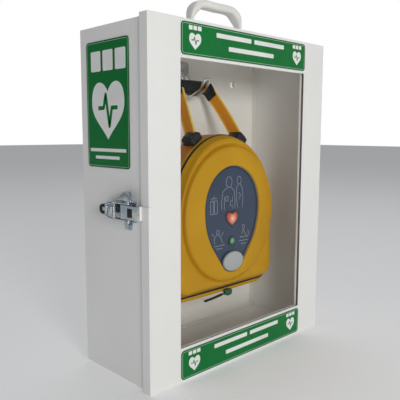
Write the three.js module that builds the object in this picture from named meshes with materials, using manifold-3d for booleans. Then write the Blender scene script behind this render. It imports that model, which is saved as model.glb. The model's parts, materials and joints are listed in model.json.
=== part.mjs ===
// A steel wall cabinet for a defibrillator, with the defibrillator hanging in it by its carry strap.
// Millimetres. The origin is the centre of the cabinet's back face, which lies on the wall.
// +X is to the right, +Y goes back into the wall, +Z is up.
import * as THREE from "three";
import { mergeVertices } from "three/addons/utils/BufferGeometryUtils.js";
import Module from "manifold-3d";

const wasm = await Module();
wasm.setup();

// ---- Driving dimensions -------------------------------------------------------------------------

// Clearances
const gap = 0.3; // between two fixed pieces that touch
const running = 0.35; // round a pin or a rivet in its hole
const throwGap = 0.5; // between the released bail and the strike, and behind the hanging case

// Cabinet and door
const doorWidth = 357;
const doorHeight = 460;
const cabinetDepth = 143; // wall to the door's front face
const trayDepth = 15; // the door is a shallow tray
const doorGap = 1; // between the tray's rear edge and the cabinet's front
const sheet = 1.2; // steel sheet of door, cabinet and back panel
const sideInset = 2; // cabinet's side wall inside the door's outline
const endInset = 4; // cabinet's top and bottom inside the door's outline
const returnWidth = 12; // flange folded in round the cabinet's front
const backFlange = 10; // flange folded forward round the back panel
const stileWidth = 51; // door face beside the window
const railHeight = 47; // door face above and below the window
const wallHoleRadius = 4.5;
const wallHoleInsetX = 56; // from the cabinet's side to a wall hole
const wallHoleInsetZ = 52; // from the cabinet's top or bottom to a wall hole

// Window
const sealThickness = 1;
const sealWidth = 8;
const paneThickness = 3;
const paneLap = 10; // pane's edge outside the window opening
const retainerThickness = 3;
const retainerWidth = 14;

// Labels
const labelThickness = 0.4;
const railLabelMargin = 3.8; // from a rail label to the rail's edges
const labelCorner = 5;
const sideLabelWidth = 91;
const sideLabelLift = 27.9; // from the latch's upper ear to the side label
const sideLabelFront = 21; // from the cabinet's front edge to the side label
const sideLabelDrop = 18.6; // from the cabinet's top to the side label

// Hinges
const hingeHeight = 50;
const hingeSpacing = 234; // between the two hinges' middles
const leafThickness = 1.5;
const leafReach = 28; // how far a cabinet leaf runs back
const pinRadius = 1.6;
const knuckleRadius = 3.2;
const knuckleLength = 16; // each of the cabinet leaf's two knuckles
const hingeRivetSetback = 18.5; // from the hinge pin back to its rivet
const rivetRadius = 2;
const rivetHeadRadius = 4;
const rivetHead = 1.5;

// Toggle latch on the left wall
const latchZ = -3;
const latchPlate = 1.5; // base plate
const latchSheet = 1.2; // lever, bail and strike
const pivotOut = 8; // lever pivot out from the wall
const pivotSetback = 17; // lever pivot behind the cabinet's front
const bailPinIn = 2; // bail pin closer to the wall than the lever pivot
const bailPinBack = 10; // bail pin behind the lever pivot
const leverLength = 36; // lever pivot to the end of its steel channel
const tipLength = 17;
const tipHalfWidth = 6.3;
const leverHalfWidth = 10.7;
const bailHalfWidth = 8.5;
const leverOut = 13; // lever's outer face out from the wall
const earReach = 23.5; // latch centre line to the end of a mounting ear
const earRivetReach = 18.5;
const strikeLipOut = 5.5; // strike's lip out from the door's side

// Carry handle on top
const handleWidth = 112; // across the feet, where they meet the arch
const handleHeight = 53;
const handleDepth = 24; // front to back
const handleSetback = 51; // handle's middle behind the cabinet's front
const handleBar = 11;
const footReach = 13;
const footThickness = 3;

// Hook on the back panel
const deviceX = 4.6; // hook and defibrillator to the right of the cabinet's middle
const hookDrop = 64; // grip's middle below the cabinet's top
const gripSetout = 25; // grip's middle out from the wall
const gripRadius = 10.5;
const gripLength = 56;
const wireRadius = 2.5;
const wireSpread = 10; // between the hook's two wires
const hookReach = 31; // hook's tip in front of the grip's middle
const hookTipRise = 9; // hook's tip above the grip's middle
const hookPlateWidth = 24;
const hookPlateHeight = 34;
const hookPlateThickness = 1.5;

// Carry case
const caseHalfWidth = 102.6;
const caseArchZ = -31.3; // height where the arch begins
const caseArchRise = 121.8;
const caseBottomZ = -145;
const caseCorner = 22;
const caseDepth = 65;
const caseSetback = 30; // case's front behind the door's front
const caseWall = 2.5;
const caseShoulder = 9.5; // raised front oval above the case's shoulder
const caseRound = 7; // rounding of the shoulder
const ovalSideMargin = 6.6;
const ovalTopMargin = 13.5;
const ovalBottomMargin = 18;
const zipSetback = 25; // zip's middle behind the case's front
const zipWidth = 3;
const pouchHalfWidth = 70;
const pouchBottomZ = -115;
const pouchTopZ = 35;

// Strap
const webbingWidth = 20;
const webbingThickness = 3;
const clipArchAngle = 64; // degrees up the arch
const clipLength = 22;
const clipHeight = 15;
const clipDepth = 24;

// Front panel of the defibrillator
const panelHalfWidth = 58;
const panelTopZ = 46;
const panelWideZ = -15; // height of the panel's widest place
const panelWaistHalf = 41; // where the lower curve turns straight
const panelWaistZ = -72;
const panelRecess = 4; // panel's face behind the case's front
const membraneThickness = 1;
const capHalfWidth = 21.35; // grey oval cap over the speaker
const capHalfHeight = 14.8;
const capZ = -94.6;
const capThickness = 5;
const capMargin = 0.9;
const buttonThickness = 4;
const buttonStand = 1.6; // button's face in front of the panel
const onButtonRadius = 6.25;
const onButtonZ = -65.4;
const heartHalfWidth = 12;
const heartHeight = 21;
const heartZ = -31.3;
const lightRadius = 2;
const lightX = 20;
const lightZ = -58;

// Defibrillator
const deviceClearance = 6.5; // between case and device all round
const deviceWall = 2.2;
const deviceDepth = 49.5;
const deviceSplit = 25; // front shell's depth
const deviceRound = 6;
const boardThickness = 1.6;
const cartridgeHalfWidth = 42;
const cartridgeHeight = 58;
const cartridgeDepth = 21.5;
const cartridgeWall = 1.5;
const cellRadius = 7;
const cellLength = 34;

// Zip slider
const sliderX = 11.4; // slider's middle to the right of the case's middle
const sliderLength = 17;
const sliderWidth = 10;
const sliderHeight = 8;
const pullLength = 40;

// ---- Places that follow from them ---------------------------------------------------------------

const doorSide = doorWidth / 2;
const doorEnd = doorHeight / 2;
const doorFront = -cabinetDepth;
const trayRear = doorFront + trayDepth;
const cabinetFront = trayRear + doorGap;
const cabinetSide = doorSide - sideInset;
const cabinetEnd = doorEnd - endInset;
const innerSide = cabinetSide - sheet;
const innerEnd = cabinetEnd - sheet;
const windowSide = doorSide - stileWidth;
const windowEnd = doorEnd - railHeight;
const railLabelHeight = railHeight - 2 * railLabelMargin;

const paneFront = doorFront + sheet + gap + sealThickness + gap;
const retainerFront = paneFront + paneThickness + gap;

const hingeX = doorSide + gap + knuckleRadius;
const hingeY = trayRear + doorGap / 2;

const pivotX = -cabinetSide - pivotOut;
const pivotY = cabinetFront + pivotSetback;
const bailPinX = pivotX + bailPinIn;
const bailPinY = pivotY + bailPinBack;
const leverFaceX = -cabinetSide - leverOut;
const strikeX = -doorSide - gap - latchSheet; // outer face of the strike plate
const strikeLipX = -doorSide - strikeLipOut;
const strikeLipY = trayRear - 2;

const handleY = cabinetFront + handleSetback;

const gripY = -gripSetout;
const gripZ = cabinetEnd - hookDrop;

const caseFront = doorFront + caseSetback;
const caseRear = caseFront + caseDepth;
const caseTopZ = caseArchZ + caseArchRise;
const shoulderY = caseFront + caseShoulder;
const zipY = caseFront + zipSetback;
const ovalTopZ = caseTopZ - ovalTopMargin;
const ovalBottomZ = caseBottomZ + ovalBottomMargin;

const panelY = caseFront + panelRecess;
const deviceFront = panelY + membraneThickness + gap;
const deviceRear = deviceFront + deviceDepth;
const splitY = deviceFront + deviceSplit;
const deviceInset = caseWall + deviceClearance;

// ---- Helpers ------------------------------------------------------------------------------------

const degrees = Math.PI / 180;

function solidOf(geometry) {
  const plain = geometry.index ? geometry.toNonIndexed() : geometry.clone();
  plain.deleteAttribute("normal");
  plain.deleteAttribute("uv");
  const merged = mergeVertices(plain, 1e-4);
  const vertProperties = new Float32Array(merged.attributes.position.array);
  const triVerts = new Uint32Array(merged.index.array);
  return new wasm.Manifold(new wasm.Mesh({ numProp: 3, vertProperties, triVerts }));
}

function geometryOf(solid) {
  const mesh = solid.getMesh();
  const geometry = new THREE.BufferGeometry();
  geometry.setAttribute("position", new THREE.BufferAttribute(mesh.vertProperties, 3));
  geometry.setIndex(new THREE.BufferAttribute(mesh.triVerts, 1));
  geometry.computeVertexNormals();
  return geometry;
}

function join(first, ...others) {
  return geometryOf(others.reduce((sum, other) => sum.add(solidOf(other)), solidOf(first)));
}

function cut(base, ...tools) {
  return geometryOf(tools.reduce((rest, tool) => rest.subtract(solidOf(tool)), solidOf(base)));
}

// A box from its three ranges.
function block([x0, x1], [y0, y1], [z0, z1]) {
  const box = new THREE.BoxGeometry(x1 - x0, y1 - y0, z1 - z0);
  return box.translate((x0 + x1) / 2, (y0 + y1) / 2, (z0 + z1) / 2);
}

// A round rod along X, Y or Z. centre holds the other two coordinates, in the order of the axes.
function rod(axis, radius, [from, to], [a, b], sides = 16) {
  const cylinder = new THREE.CylinderGeometry(radius, radius, to - from, sides);
  const middle = (from + to) / 2;
  if (axis === "x") return cylinder.rotateZ(Math.PI / 2).translate(middle, a, b);
  if (axis === "y") return cylinder.translate(a, middle, b);
  return cylinder.rotateX(Math.PI / 2).translate(a, b, middle);
}

// A shape drawn in X and Z, extruded forward from yBack to yFront. round softens both ends.
function slab(shape, [yFront, yBack], { round = 0, steps = 2, curve = 10, x = 0 } = {}) {
  const geometry = new THREE.ExtrudeGeometry(shape, {
    depth: yBack - yFront - 2 * round,
    curveSegments: curve,
    bevelEnabled: round > 0,
    bevelThickness: round,
    bevelSize: round,
    bevelOffset: -round,
    bevelSegments: steps,
  });
  return geometry.rotateX(Math.PI / 2).translate(x, yBack - round, 0);
}

function rectangle([x0, x1], [z0, z1], corner = 0) {
  const shape = new THREE.Shape();
  if (corner === 0) {
    shape.moveTo(x0, z0).lineTo(x1, z0).lineTo(x1, z1).lineTo(x0, z1);
    return shape;
  }
  shape.moveTo(x0 + corner, z0).lineTo(x1 - corner, z0);
  shape.absarc(x1 - corner, z0 + corner, corner, -Math.PI / 2, 0);
  shape.lineTo(x1, z1 - corner);
  shape.absarc(x1 - corner, z1 - corner, corner, 0, Math.PI / 2);
  shape.lineTo(x0 + corner, z1);
  shape.absarc(x0 + corner, z1 - corner, corner, Math.PI / 2, Math.PI);
  shape.lineTo(x0, z0 + corner);
  shape.absarc(x0 + corner, z0 + corner, corner, Math.PI, 1.5 * Math.PI);
  return shape;
}

function ellipse(halfWidth, halfHeight, z) {
  const shape = new THREE.Shape();
  shape.absellipse(0, z, halfWidth, halfHeight, 0, 2 * Math.PI);
  return shape;
}

// A rivet or screw along an axis from its outer head, through both sheets, to its inner head.
function rivet(axis, [outside, inside], centre, { head = rivetHeadRadius, heads = rivetHead } = {}) {
  const way = Math.sign(inside - outside);
  const ordered = (a, b) => (a < b ? [a, b] : [b, a]);
  return join(
    rod(axis, rivetRadius, ordered(outside, inside), centre, 12),
    rod(axis, head, ordered(outside - way * heads, outside), centre),
    rod(axis, head - 0.5, ordered(inside, inside + way * heads), centre),
  );
}

const finishes = {
  whitePaint: { color: 0xdedddc, roughness: 0.4, metalness: 0.05 },
  whitePlastic: { color: 0xe6e5e0, roughness: 0.45, metalness: 0 },
  zinc: { color: 0x9aa7ae, roughness: 0.35, metalness: 0.9 },
  chrome: { color: 0xc8ccd0, roughness: 0.12, metalness: 1 },
  blackRubber: { color: 0x17191b, roughness: 0.7, metalness: 0 },
  blackPlastic: { color: 0x1d2226, roughness: 0.4, metalness: 0 },
  clear: { color: 0xf0f4f4, roughness: 0.08, metalness: 0 },
  greenLabel: { color: 0x187d3e, roughness: 0.35, metalness: 0 },
  yellowCase: { color: 0xbe911e, roughness: 0.6, metalness: 0 },
  orangeWebbing: { color: 0xd08a1c, roughness: 0.8, metalness: 0 },
  greyShell: { color: 0x4b5058, roughness: 0.5, metalness: 0 },
  slatePanel: { color: 0x415064, roughness: 0.4, metalness: 0 },
  paleCap: { color: 0xc4c6c9, roughness: 0.5, metalness: 0 },
  greenPlastic: { color: 0x2e7d4f, roughness: 0.4, metalness: 0 },
  redButton: { color: 0xd8502c, roughness: 0.35, metalness: 0 },
  circuit: { color: 0x1f5a35, roughness: 0.5, metalness: 0.1 },
  foil: { color: 0xb9bcc0, roughness: 0.4, metalness: 0.6 },
};

const object = new THREE.Group();

function add(name, finish, geometry) {
  const mesh = new THREE.Mesh(geometry, new THREE.MeshStandardMaterial(finishes[finish]));
  mesh.name = name;
  object.add(mesh);
}

// ---- Cabinet ------------------------------------------------------------------------------------

const sides = [-1, 1];
const hinges = [
  ["upper", hingeSpacing / 2],
  ["lower", -hingeSpacing / 2],
];
const earRivets = [
  ["upper", latchZ + earRivetReach],
  ["lower", latchZ - earRivetReach],
];
const footScrewX = handleWidth / 2 + footReach / 2;
const hingeRivetY = hingeY + hingeRivetSetback;
const earY = pivotY + 8;

function cabinetWrapper() {
  const rivetHole = rivetRadius + running;
  const rightWall = [innerSide - 1, cabinetSide + 1];
  const leftWall = [-cabinetSide - 1, -innerSide + 1];
  const roof = [innerEnd - 1, cabinetEnd + 1];
  const openSide = cabinetSide - returnWidth;
  const openEnd = cabinetEnd - returnWidth;
  return cut(
    block([-cabinetSide, cabinetSide], [cabinetFront, 0], [-cabinetEnd, cabinetEnd]),
    block([-innerSide, innerSide], [cabinetFront + sheet, 1], [-innerEnd, innerEnd]),
    block([-openSide, openSide], [cabinetFront - 1, cabinetFront + 2], [-openEnd, openEnd]),
    ...hinges.map(([, z]) => rod("x", rivetHole, rightWall, [hingeRivetY, z], 12)),
    ...earRivets.map(([, z]) => rod("x", rivetHole, leftWall, [earY, z], 12)),
    ...sides.map((side) => rod("z", rivetHole, roof, [side * footScrewX, handleY], 12)),
  );
}

const wallHoleX = cabinetSide - wallHoleInsetX;
const wallHoleZ = cabinetEnd - wallHoleInsetZ;
const plateZ = gripZ + 6 + hookPlateHeight / 2;
const hookScrewZ = [plateZ + 11, plateZ + 2];
const hookPlateFront = -sheet - gap - hookPlateThickness;

// The back panel is a tray with its flange towards the front, and four holes for the wall screws.
function backPanel() {
  const side = innerSide - gap;
  const end = innerEnd - gap;
  const through = [-sheet - 1, 1];
  const wallHoles = sides.flatMap((sx) =>
    sides.map((sz) => rod("y", wallHoleRadius, through, [sx * wallHoleX, sz * wallHoleZ])),
  );
  return cut(
    block([-side, side], [-backFlange, 0], [-end, end]),
    block([-side + sheet, side - sheet], [-backFlange - 1, -sheet], [-end + sheet, end - sheet]),
    ...wallHoles,
    ...hookScrewZ.map((z) => rod("y", rivetRadius + running, through, [deviceX, z], 12)),
  );
}

function hookPlate() {
  const half = hookPlateWidth / 2;
  const shape = rectangle([-half, half], [plateZ - half - 5, plateZ + half + 5], 5);
  return cut(
    slab(shape, [hookPlateFront, -sheet - gap], { x: deviceX, curve: 4 }),
    ...hookScrewZ.map((z) => rod("y", rivetRadius + running, [hookPlateFront - 1, 0], [deviceX, z], 12)),
  );
}

// One wire bent double: out of the plate, down behind the grip, round under it and up to the tip,
// then across and back the same way.
function hookWire() {
  const round = gripRadius + wireRadius + gap;
  const leg = (side) => {
    const points = [
      [hookPlateFront - 2 * gap, gripZ + 20],
      [hookPlateFront - wireRadius, gripZ + 20],
      [gripY + round + 1, gripZ + 13],
    ];
    for (let angle = 0; angle >= -120; angle -= 30)
      points.push([gripY + round * Math.cos(angle * degrees), gripZ + round * Math.sin(angle * degrees)]);
    points.push([gripY - hookReach * 0.62, gripZ - 4.5]);
    points.push([gripY - hookReach + 1, gripZ + hookTipRise - 1.5]);
    return points.map(([y, z]) => new THREE.Vector3(deviceX + (side * wireSpread) / 2, y, z));
  };
  const tip = new THREE.Vector3(deviceX, gripY - hookReach, gripZ + hookTipRise);
  const route = new THREE.CatmullRomCurve3([...leg(-1), tip, ...leg(1).reverse()], false, "centripetal");
  const section = new THREE.Shape().absarc(0, 0, wireRadius, 0, 2 * Math.PI);
  return new THREE.ExtrudeGeometry(section, { extrudePath: route, steps: 48, curveSegments: 4 });
}

function hookScrew(z) {
  return join(
    rod("y", rivetRadius, [hookPlateFront - gap, sheet - 2], [deviceX, z], 12),
    rod("y", rivetHeadRadius - 0.3, [hookPlateFront - gap - 2, hookPlateFront - gap], [deviceX, z]),
  );
}

// The cabinet's leaf lies on the right wall; its two knuckles stand out in line with the door's.
function cabinetLeaf(z) {
  const half = hingeHeight / 2;
  const plate = [cabinetSide + gap, cabinetSide + gap + leafThickness];
  const plateFront = hingeY + knuckleRadius + throwGap;
  const ends = [
    [z - half, z - half + knuckleLength],
    [z + half - knuckleLength, z + half],
  ];
  const linkX = [plate[0], doorSide + gap + leafThickness];
  const solid = join(
    block(plate, [plateFront, plateFront + leafReach], [z - half, z + half]),
    ...ends.map((end) => block(linkX, [hingeY + 1.2, plateFront + leafThickness], end)),
    ...ends.map((end) => rod("z", knuckleRadius, end, [hingeX, hingeY])),
  );
  return cut(
    solid,
    rod("z", pinRadius + running, [z - half - 1, z + half + 1], [hingeX, hingeY]),
    rod("x", rivetRadius + running, [plate[0] - 1, plate[1] + 1], [hingeRivetY, z], 12),
  );
}

// The door's leaf lies on the tray's right flange; its one knuckle sits between the cabinet's two.
function doorLeaf(z) {
  const half = hingeHeight / 2;
  const middle = [z - half + knuckleLength + gap, z + half - knuckleLength - gap];
  const plateX = [doorSide + gap, doorSide + gap + leafThickness];
  const plateRear = hingeY - knuckleRadius - throwGap;
  const solid = join(
    block(plateX, [doorFront + 1.5, plateRear], [z - half, z + half]),
    block(plateX, [plateRear - 1, hingeY - 1.2], middle),
    rod("z", knuckleRadius, middle, [hingeX, hingeY]),
  );
  return cut(solid, rod("z", pinRadius + running, [middle[0] - 1, middle[1] + 1], [hingeX, hingeY]));
}

function hingePin(z) {
  const half = hingeHeight / 2;
  return join(
    rod("z", pinRadius, [z - half - 0.8, z + half + gap], [hingeX, hingeY]),
    rod("z", pinRadius + 1, [z + half + gap, z + half + gap + 1.2], [hingeX, hingeY]),
  );
}

function hingeRivet(z) {
  return rivet("x", [cabinetSide + leafThickness + 2 * gap, innerSide - gap], [hingeRivetY, z]);
}

// ---- Toggle latch -------------------------------------------------------------------------------

const cheekInner = leverHalfWidth + throwGap; // base's cheeks stand outside the lever's
const baseX = -cabinetSide - gap - latchPlate;

// A plate outline in Y and Z, extruded along X from xOut to xIn.
function sidePlate(points, [xOut, xIn]) {
  const shape = new THREE.Shape(points.map(([y, z]) => new THREE.Vector2(y, z)));
  const geometry = new THREE.ExtrudeGeometry(shape, { depth: xIn - xOut, bevelEnabled: false });
  const turn = new THREE.Matrix4().makeBasis(
    new THREE.Vector3(0, 1, 0),
    new THREE.Vector3(0, 0, 1),
    new THREE.Vector3(1, 0, 0),
  );
  return geometry.applyMatrix4(turn).translate(xOut, 0, 0);
}

// A flat cheek across Z: rounded end about the pivot, from there back or down to the given corners.
function cheek(corners, radius, [z0, z1]) {
  const shape = new THREE.Shape(corners.map(([x, y]) => new THREE.Vector2(x, y)));
  const body = new THREE.ExtrudeGeometry(shape, { depth: z1 - z0, bevelEnabled: false });
  return join(body.translate(0, 0, z0), rod("z", radius, [z0, z1], [pivotX, pivotY]));
}

function bothSides(from, to) {
  return sides.map((side) => [latchZ + side * from, latchZ + side * to].sort((a, b) => a - b));
}

function latchBase() {
  const plate = [
    [pivotY - 8, 13],
    [pivotY - 8, -13],
    [earY - 8, -13],
    [earY - 6, -earReach],
    [earY + 6, -earReach],
    [earY + 8, -13],
    [pivotY + leverLength, -9],
    [pivotY + leverLength, 9],
    [earY + 8, 13],
    [earY + 6, earReach],
    [earY - 6, earReach],
    [earY - 8, 13],
  ].map(([y, z]) => [y, latchZ + z]);
  const cheekCorners = [
    [baseX + 0.5, pivotY - 5.5],
    [baseX + 0.5, pivotY + 5.5],
    [pivotX - 1, pivotY + 3.5],
    [pivotX - 1, pivotY - 3.5],
  ];
  const solid = join(
    sidePlate(plate, [baseX, baseX + latchPlate]),
    ...bothSides(cheekInner, cheekInner + latchPlate).map((z) => cheek(cheekCorners, 4, z)),
  );
  return cut(
    solid,
    ...bothSides(cheekInner - 1, cheekInner + 3).map((z) => rod("z", 1.5 + running, z, [pivotX, pivotY], 12)),
    ...earRivets.map(([, z]) => rod("x", rivetRadius + running, [baseX - 1, baseX + 3], [earY, z], 12)),
  );
}

function latchPivot(side) {
  const span = (from, to) => bothSides(from, to)[side > 0 ? 1 : 0];
  const outer = cheekInner + latchPlate + gap;
  return join(
    rod("z", 1.5, span(leverHalfWidth - latchSheet - 0.1, outer), [pivotX, pivotY], 12),
    rod("z", 2.8, span(outer, outer + 1.2), [pivotX, pivotY]),
  );
}

function earRivet(z) {
  return rivet("x", [baseX - gap, -innerSide + gap], [earY, z], { head: 3.2, heads: 1.2 });
}

// The lever is a channel open towards the wall. Its face starts behind the bail pin, so that the
// bail can stand up out of it, and its tongue carries the rubber tip.
function latchLever() {
  const face = [leverFaceX, leverFaceX + latchSheet];
  const faceFront = bailPinY + 10;
  const end = pivotY + leverLength;
  const corners = [
    [pivotX + 3.2, pivotY - 1],
    [pivotX + 3.2, end - 8],
    [leverFaceX + 2, end],
    [leverFaceX, end],
    [leverFaceX, faceFront],
    [pivotX - 3.2, pivotY + 2],
  ];
  const solid = join(
    block(face, [faceFront, end], [latchZ - leverHalfWidth, latchZ + leverHalfWidth]),
    block([face[0] + 0.6, face[1] + 1.2], [end - 4, end + tipLength - 5], [latchZ - 2.2, latchZ + 2.2]),
    ...bothSides(leverHalfWidth - latchSheet, leverHalfWidth).map((z) => cheek(corners, 3.8, z)),
  );
  const holes = [
    rod("z", 1.5 + running, [latchZ - 15, latchZ + 15], [pivotX, pivotY], 12),
    rod("z", 1.4 + gap, [latchZ - 15, latchZ + 15], [bailPinX, bailPinY], 12),
  ];
  return cut(solid, ...holes);
}

// The rubber tip is a U round the lever's tongue.
function latchTip() {
  const end = pivotY + leverLength + gap;
  const round = new THREE.Shape();
  round.moveTo(latchZ - tipHalfWidth, end).lineTo(latchZ - tipHalfWidth, end + tipLength - tipHalfWidth);
  round.absarc(latchZ, end + tipLength - tipHalfWidth, tipHalfWidth, Math.PI, 0, true);
  round.lineTo(latchZ + tipHalfWidth, end);
  const outline = round.getPoints(6).map((point) => [point.y, point.x]);
  const tongue = [end - 5, end + tipLength - 5 + gap];
  return cut(
    sidePlate(outline, [leverFaceX - 0.4, leverFaceX + 5]),
    block([leverFaceX - 2, leverFaceX + latchSheet + 1.5], tongue, [latchZ - 2.5, latchZ + 2.5]),
  );
}

function bailPin() {
  return rod("z", 1.4, [latchZ - 11.1, latchZ + 11.1], [bailPinX, bailPinY], 12);
}

const bailX = [leverFaceX + latchSheet + gap, leverFaceX + 2 * latchSheet + gap];
const bailLipY = [strikeLipY - 2 * latchSheet - 0.8, strikeLipY - latchSheet - 0.8];
const bailWindow = [pivotY - 13, pivotY - 3];

// The bail is a flat link with a window, a sleeve on its pin and a lip that hooks over the strike.
function latchBail() {
  const across = [latchZ - bailHalfWidth, latchZ + bailHalfWidth];
  const lipX = [bailX[0], strikeLipX - throwGap];
  const sleeve = 2.6;
  const solid = join(
    block(bailX, [bailLipY[0], bailPinY], across),
    block(lipX, bailLipY, across),
    block([bailX[0], bailPinX], [bailPinY - sleeve, bailPinY], across),
    rod("z", sleeve, across, [bailPinX, bailPinY]),
  );
  return cut(
    solid,
    rod("z", 1.4 + gap, [latchZ - 15, latchZ + 15], [bailPinX, bailPinY], 12),
    block([bailX[0] - 1, bailX[1] + 1], bailWindow, [latchZ - 5.5, latchZ + 5.5]),
  );
}

function bailPad() {
  const [front, rear] = bailWindow;
  return block([bailX[0] + 0.2, bailX[1] + 1.6], [front + gap, rear - gap], [latchZ - 5.2, latchZ + 5.2]);
}

// The strike wraps the door's front left corner, with a lip standing out for the bail.
function strikePlate() {
  const across = [latchZ - bailHalfWidth, latchZ + bailHalfWidth];
  const front = doorFront - gap - latchSheet;
  return join(
    block([strikeX, strikeX + latchSheet], [front, trayRear - 0.8], across),
    block([strikeX, -doorSide + 4], [front, front + latchSheet], across),
    block([strikeLipX, strikeX + 0.5], [strikeLipY - latchSheet, strikeLipY], across),
  );
}

// ---- Carry handle and labels --------------------------------------------------------------------

const handleBottom = cabinetEnd + gap;

function carryHandle() {
  const half = handleWidth / 2;
  const top = handleBottom + handleHeight;
  const under = top - handleBar;
  const shape = new THREE.Shape();
  shape.moveTo(-half, handleBottom).lineTo(-half + handleBar, handleBottom);
  shape.lineTo(-half + handleBar + 3, handleBottom + 24);
  shape.quadraticCurveTo(-half + handleBar + 6, under - 2, -half + 30, under - 1);
  shape.quadraticCurveTo(0, under - 6, half - 30, under - 1);
  shape.quadraticCurveTo(half - handleBar - 6, under - 2, half - handleBar - 3, handleBottom + 24);
  shape.lineTo(half - handleBar, handleBottom).lineTo(half, handleBottom);
  shape.lineTo(half - 4, handleBottom + 26);
  shape.quadraticCurveTo(half - 9, top - 3, half - 30, top);
  shape.lineTo(-half + 30, top);
  shape.quadraticCurveTo(-half + 9, top - 3, -half + 4, handleBottom + 26);
  const span = [handleY - handleDepth / 2, handleY + handleDepth / 2];
  const foot = (side) => {
    const x = [half - handleBar, half + footReach].map((reach) => side * reach).sort((a, b) => a - b);
    return block(x, span, [handleBottom, handleBottom + footThickness]);
  };
  const hole = [handleBottom - 1, handleBottom + footThickness + 1];
  return cut(
    join(slab(shape, span, { round: 2.4, steps: 2, curve: 5 }), ...sides.map(foot)),
    ...sides.map((side) => rod("z", rivetRadius + running, hole, [side * footScrewX, handleY], 12)),
  );
}

function handleScrew(side) {
  const place = [side * footScrewX, handleY];
  return rivet("z", [handleBottom + footThickness + gap, innerEnd - gap], place, { head: 3.6, heads: 2 });
}

function railLabel(side) {
  const z = side * (doorEnd - railHeight / 2);
  const half = railLabelHeight / 2;
  const shape = rectangle([-windowSide, windowSide], [z - half, z + half], labelCorner);
  return slab(shape, [doorFront - gap - labelThickness, doorFront - gap], { curve: 4 });
}

function sideLabel() {
  const front = cabinetFront + sideLabelFront;
  const z = [latchZ + earReach + sideLabelLift, cabinetEnd - sideLabelDrop];
  const outline = rectangle([front, front + sideLabelWidth], z, labelCorner);
  const points = outline.getPoints(4).map((point) => [point.x, point.y]);
  return sidePlate(points.slice(1), [-cabinetSide - gap - labelThickness, -cabinetSide - gap]);
}

// ---- Door ---------------------------------------------------------------------------------------

function ring([outerSide, outerEnd], [innerX, innerZ], y) {
  return cut(
    block([-outerSide, outerSide], y, [-outerEnd, outerEnd]),
    block([-innerX, innerX], [y[0] - 1, y[1] + 1], [-innerZ, innerZ]),
  );
}

function doorPanel() {
  return cut(
    block([-doorSide, doorSide], [doorFront, trayRear], [-doorEnd, doorEnd]),
    block(
      [-doorSide + sheet, doorSide - sheet],
      [doorFront + sheet, trayRear + 1],
      [-doorEnd + sheet, doorEnd - sheet],
    ),
    block([-windowSide, windowSide], [doorFront - 1, doorFront + 2], [-windowEnd, windowEnd]),
  );
}

function windowSeal() {
  const front = doorFront + sheet + gap;
  const inner = [windowSide + 1, windowEnd + 1];
  return ring(inner.map((half) => half + sealWidth), inner, [front, front + sealThickness]);
}

function windowPane() {
  const side = windowSide + paneLap;
  const end = windowEnd + paneLap;
  return block([-side, side], [paneFront, paneFront + paneThickness], [-end, end]);
}

function windowRetainer() {
  const inner = [windowSide + 1, windowEnd + 1];
  const y = [retainerFront, retainerFront + retainerThickness];
  return ring(inner.map((half) => half + retainerWidth), inner, y);
}

// ---- Carry case ---------------------------------------------------------------------------------

// The case's outline: an arch on straight sides, with round lower corners, drawn inset from the case.
function archShape(inset) {
  const half = caseHalfWidth - inset;
  const bottom = caseBottomZ + inset;
  const corner = Math.max(caseCorner - inset, 4);
  const shape = new THREE.Shape();
  shape.moveTo(-half + corner, bottom).lineTo(half - corner, bottom);
  shape.quadraticCurveTo(half, bottom, half, bottom + corner);
  shape.lineTo(half, caseArchZ);
  shape.absellipse(0, caseArchZ, half, caseArchRise - inset, 0, Math.PI);
  shape.lineTo(-half, bottom + corner);
  shape.quadraticCurveTo(-half, bottom, -half + corner, bottom);
  return shape;
}

function frontOval(inset) {
  const halfHeight = (ovalTopZ - ovalBottomZ) / 2;
  return ellipse(caseHalfWidth - ovalSideMargin - inset, halfHeight - inset, (ovalTopZ + ovalBottomZ) / 2);
}

// The front panel's drop shape: round above, straight towards the cap at the bottom.
function panelShape(margin) {
  const side = panelHalfWidth + margin;
  const tipWidth = capHalfWidth + capMargin + margin;
  const tipHeight = capHalfHeight + capMargin + margin;
  const waist = panelWaistHalf + margin;
  const turn = 27 * degrees; // where the straight edge meets the round tip
  const [tipX, tipZ] = [tipWidth * Math.cos(turn), capZ - tipHeight * Math.sin(turn)];
  const shape = new THREE.Shape();
  shape.moveTo(tipX, tipZ).lineTo(waist, panelWaistZ);
  shape.bezierCurveTo(waist + 9, panelWaistZ + 12.6, side, panelWideZ - 25, side, panelWideZ);
  shape.absellipse(0, panelWideZ, side, panelTopZ + margin - panelWideZ, 0, Math.PI);
  shape.bezierCurveTo(-side, panelWideZ - 25, -waist - 9, panelWaistZ + 12.6, -waist, panelWaistZ);
  shape.lineTo(-tipX, tipZ);
  shape.absellipse(0, capZ, tipWidth, tipHeight, Math.PI + turn, 2 * Math.PI - turn);
  return shape;
}

const farBehind = 40; // how far a tool reaches past the face it opens

function caseFrontShell() {
  const rim = zipY - zipWidth / 2 - gap;
  const at = { x: deviceX, curve: 9 };
  const outside = join(
    slab(archShape(0), [shoulderY, rim + farBehind], { ...at, round: caseRound }),
    slab(frontOval(0), [caseFront, rim + farBehind], { ...at, round: 5 }),
  );
  const inside = { ...at, steps: 1 };
  const behind = block([-300, 300], [rim, rim + 2 * farBehind], [-300, 300]);
  return cut(
    outside,
    behind,
    slab(archShape(caseWall), [shoulderY + caseWall, rim + farBehind], { ...inside, round: caseRound - 1 }),
    slab(frontOval(caseWall), [caseFront + caseWall, rim + farBehind], { ...inside, round: 4 }),
    slab(panelShape(0), [caseFront - 1, caseFront + farBehind], { ...at, curve: 7 }),
  );
}

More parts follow.
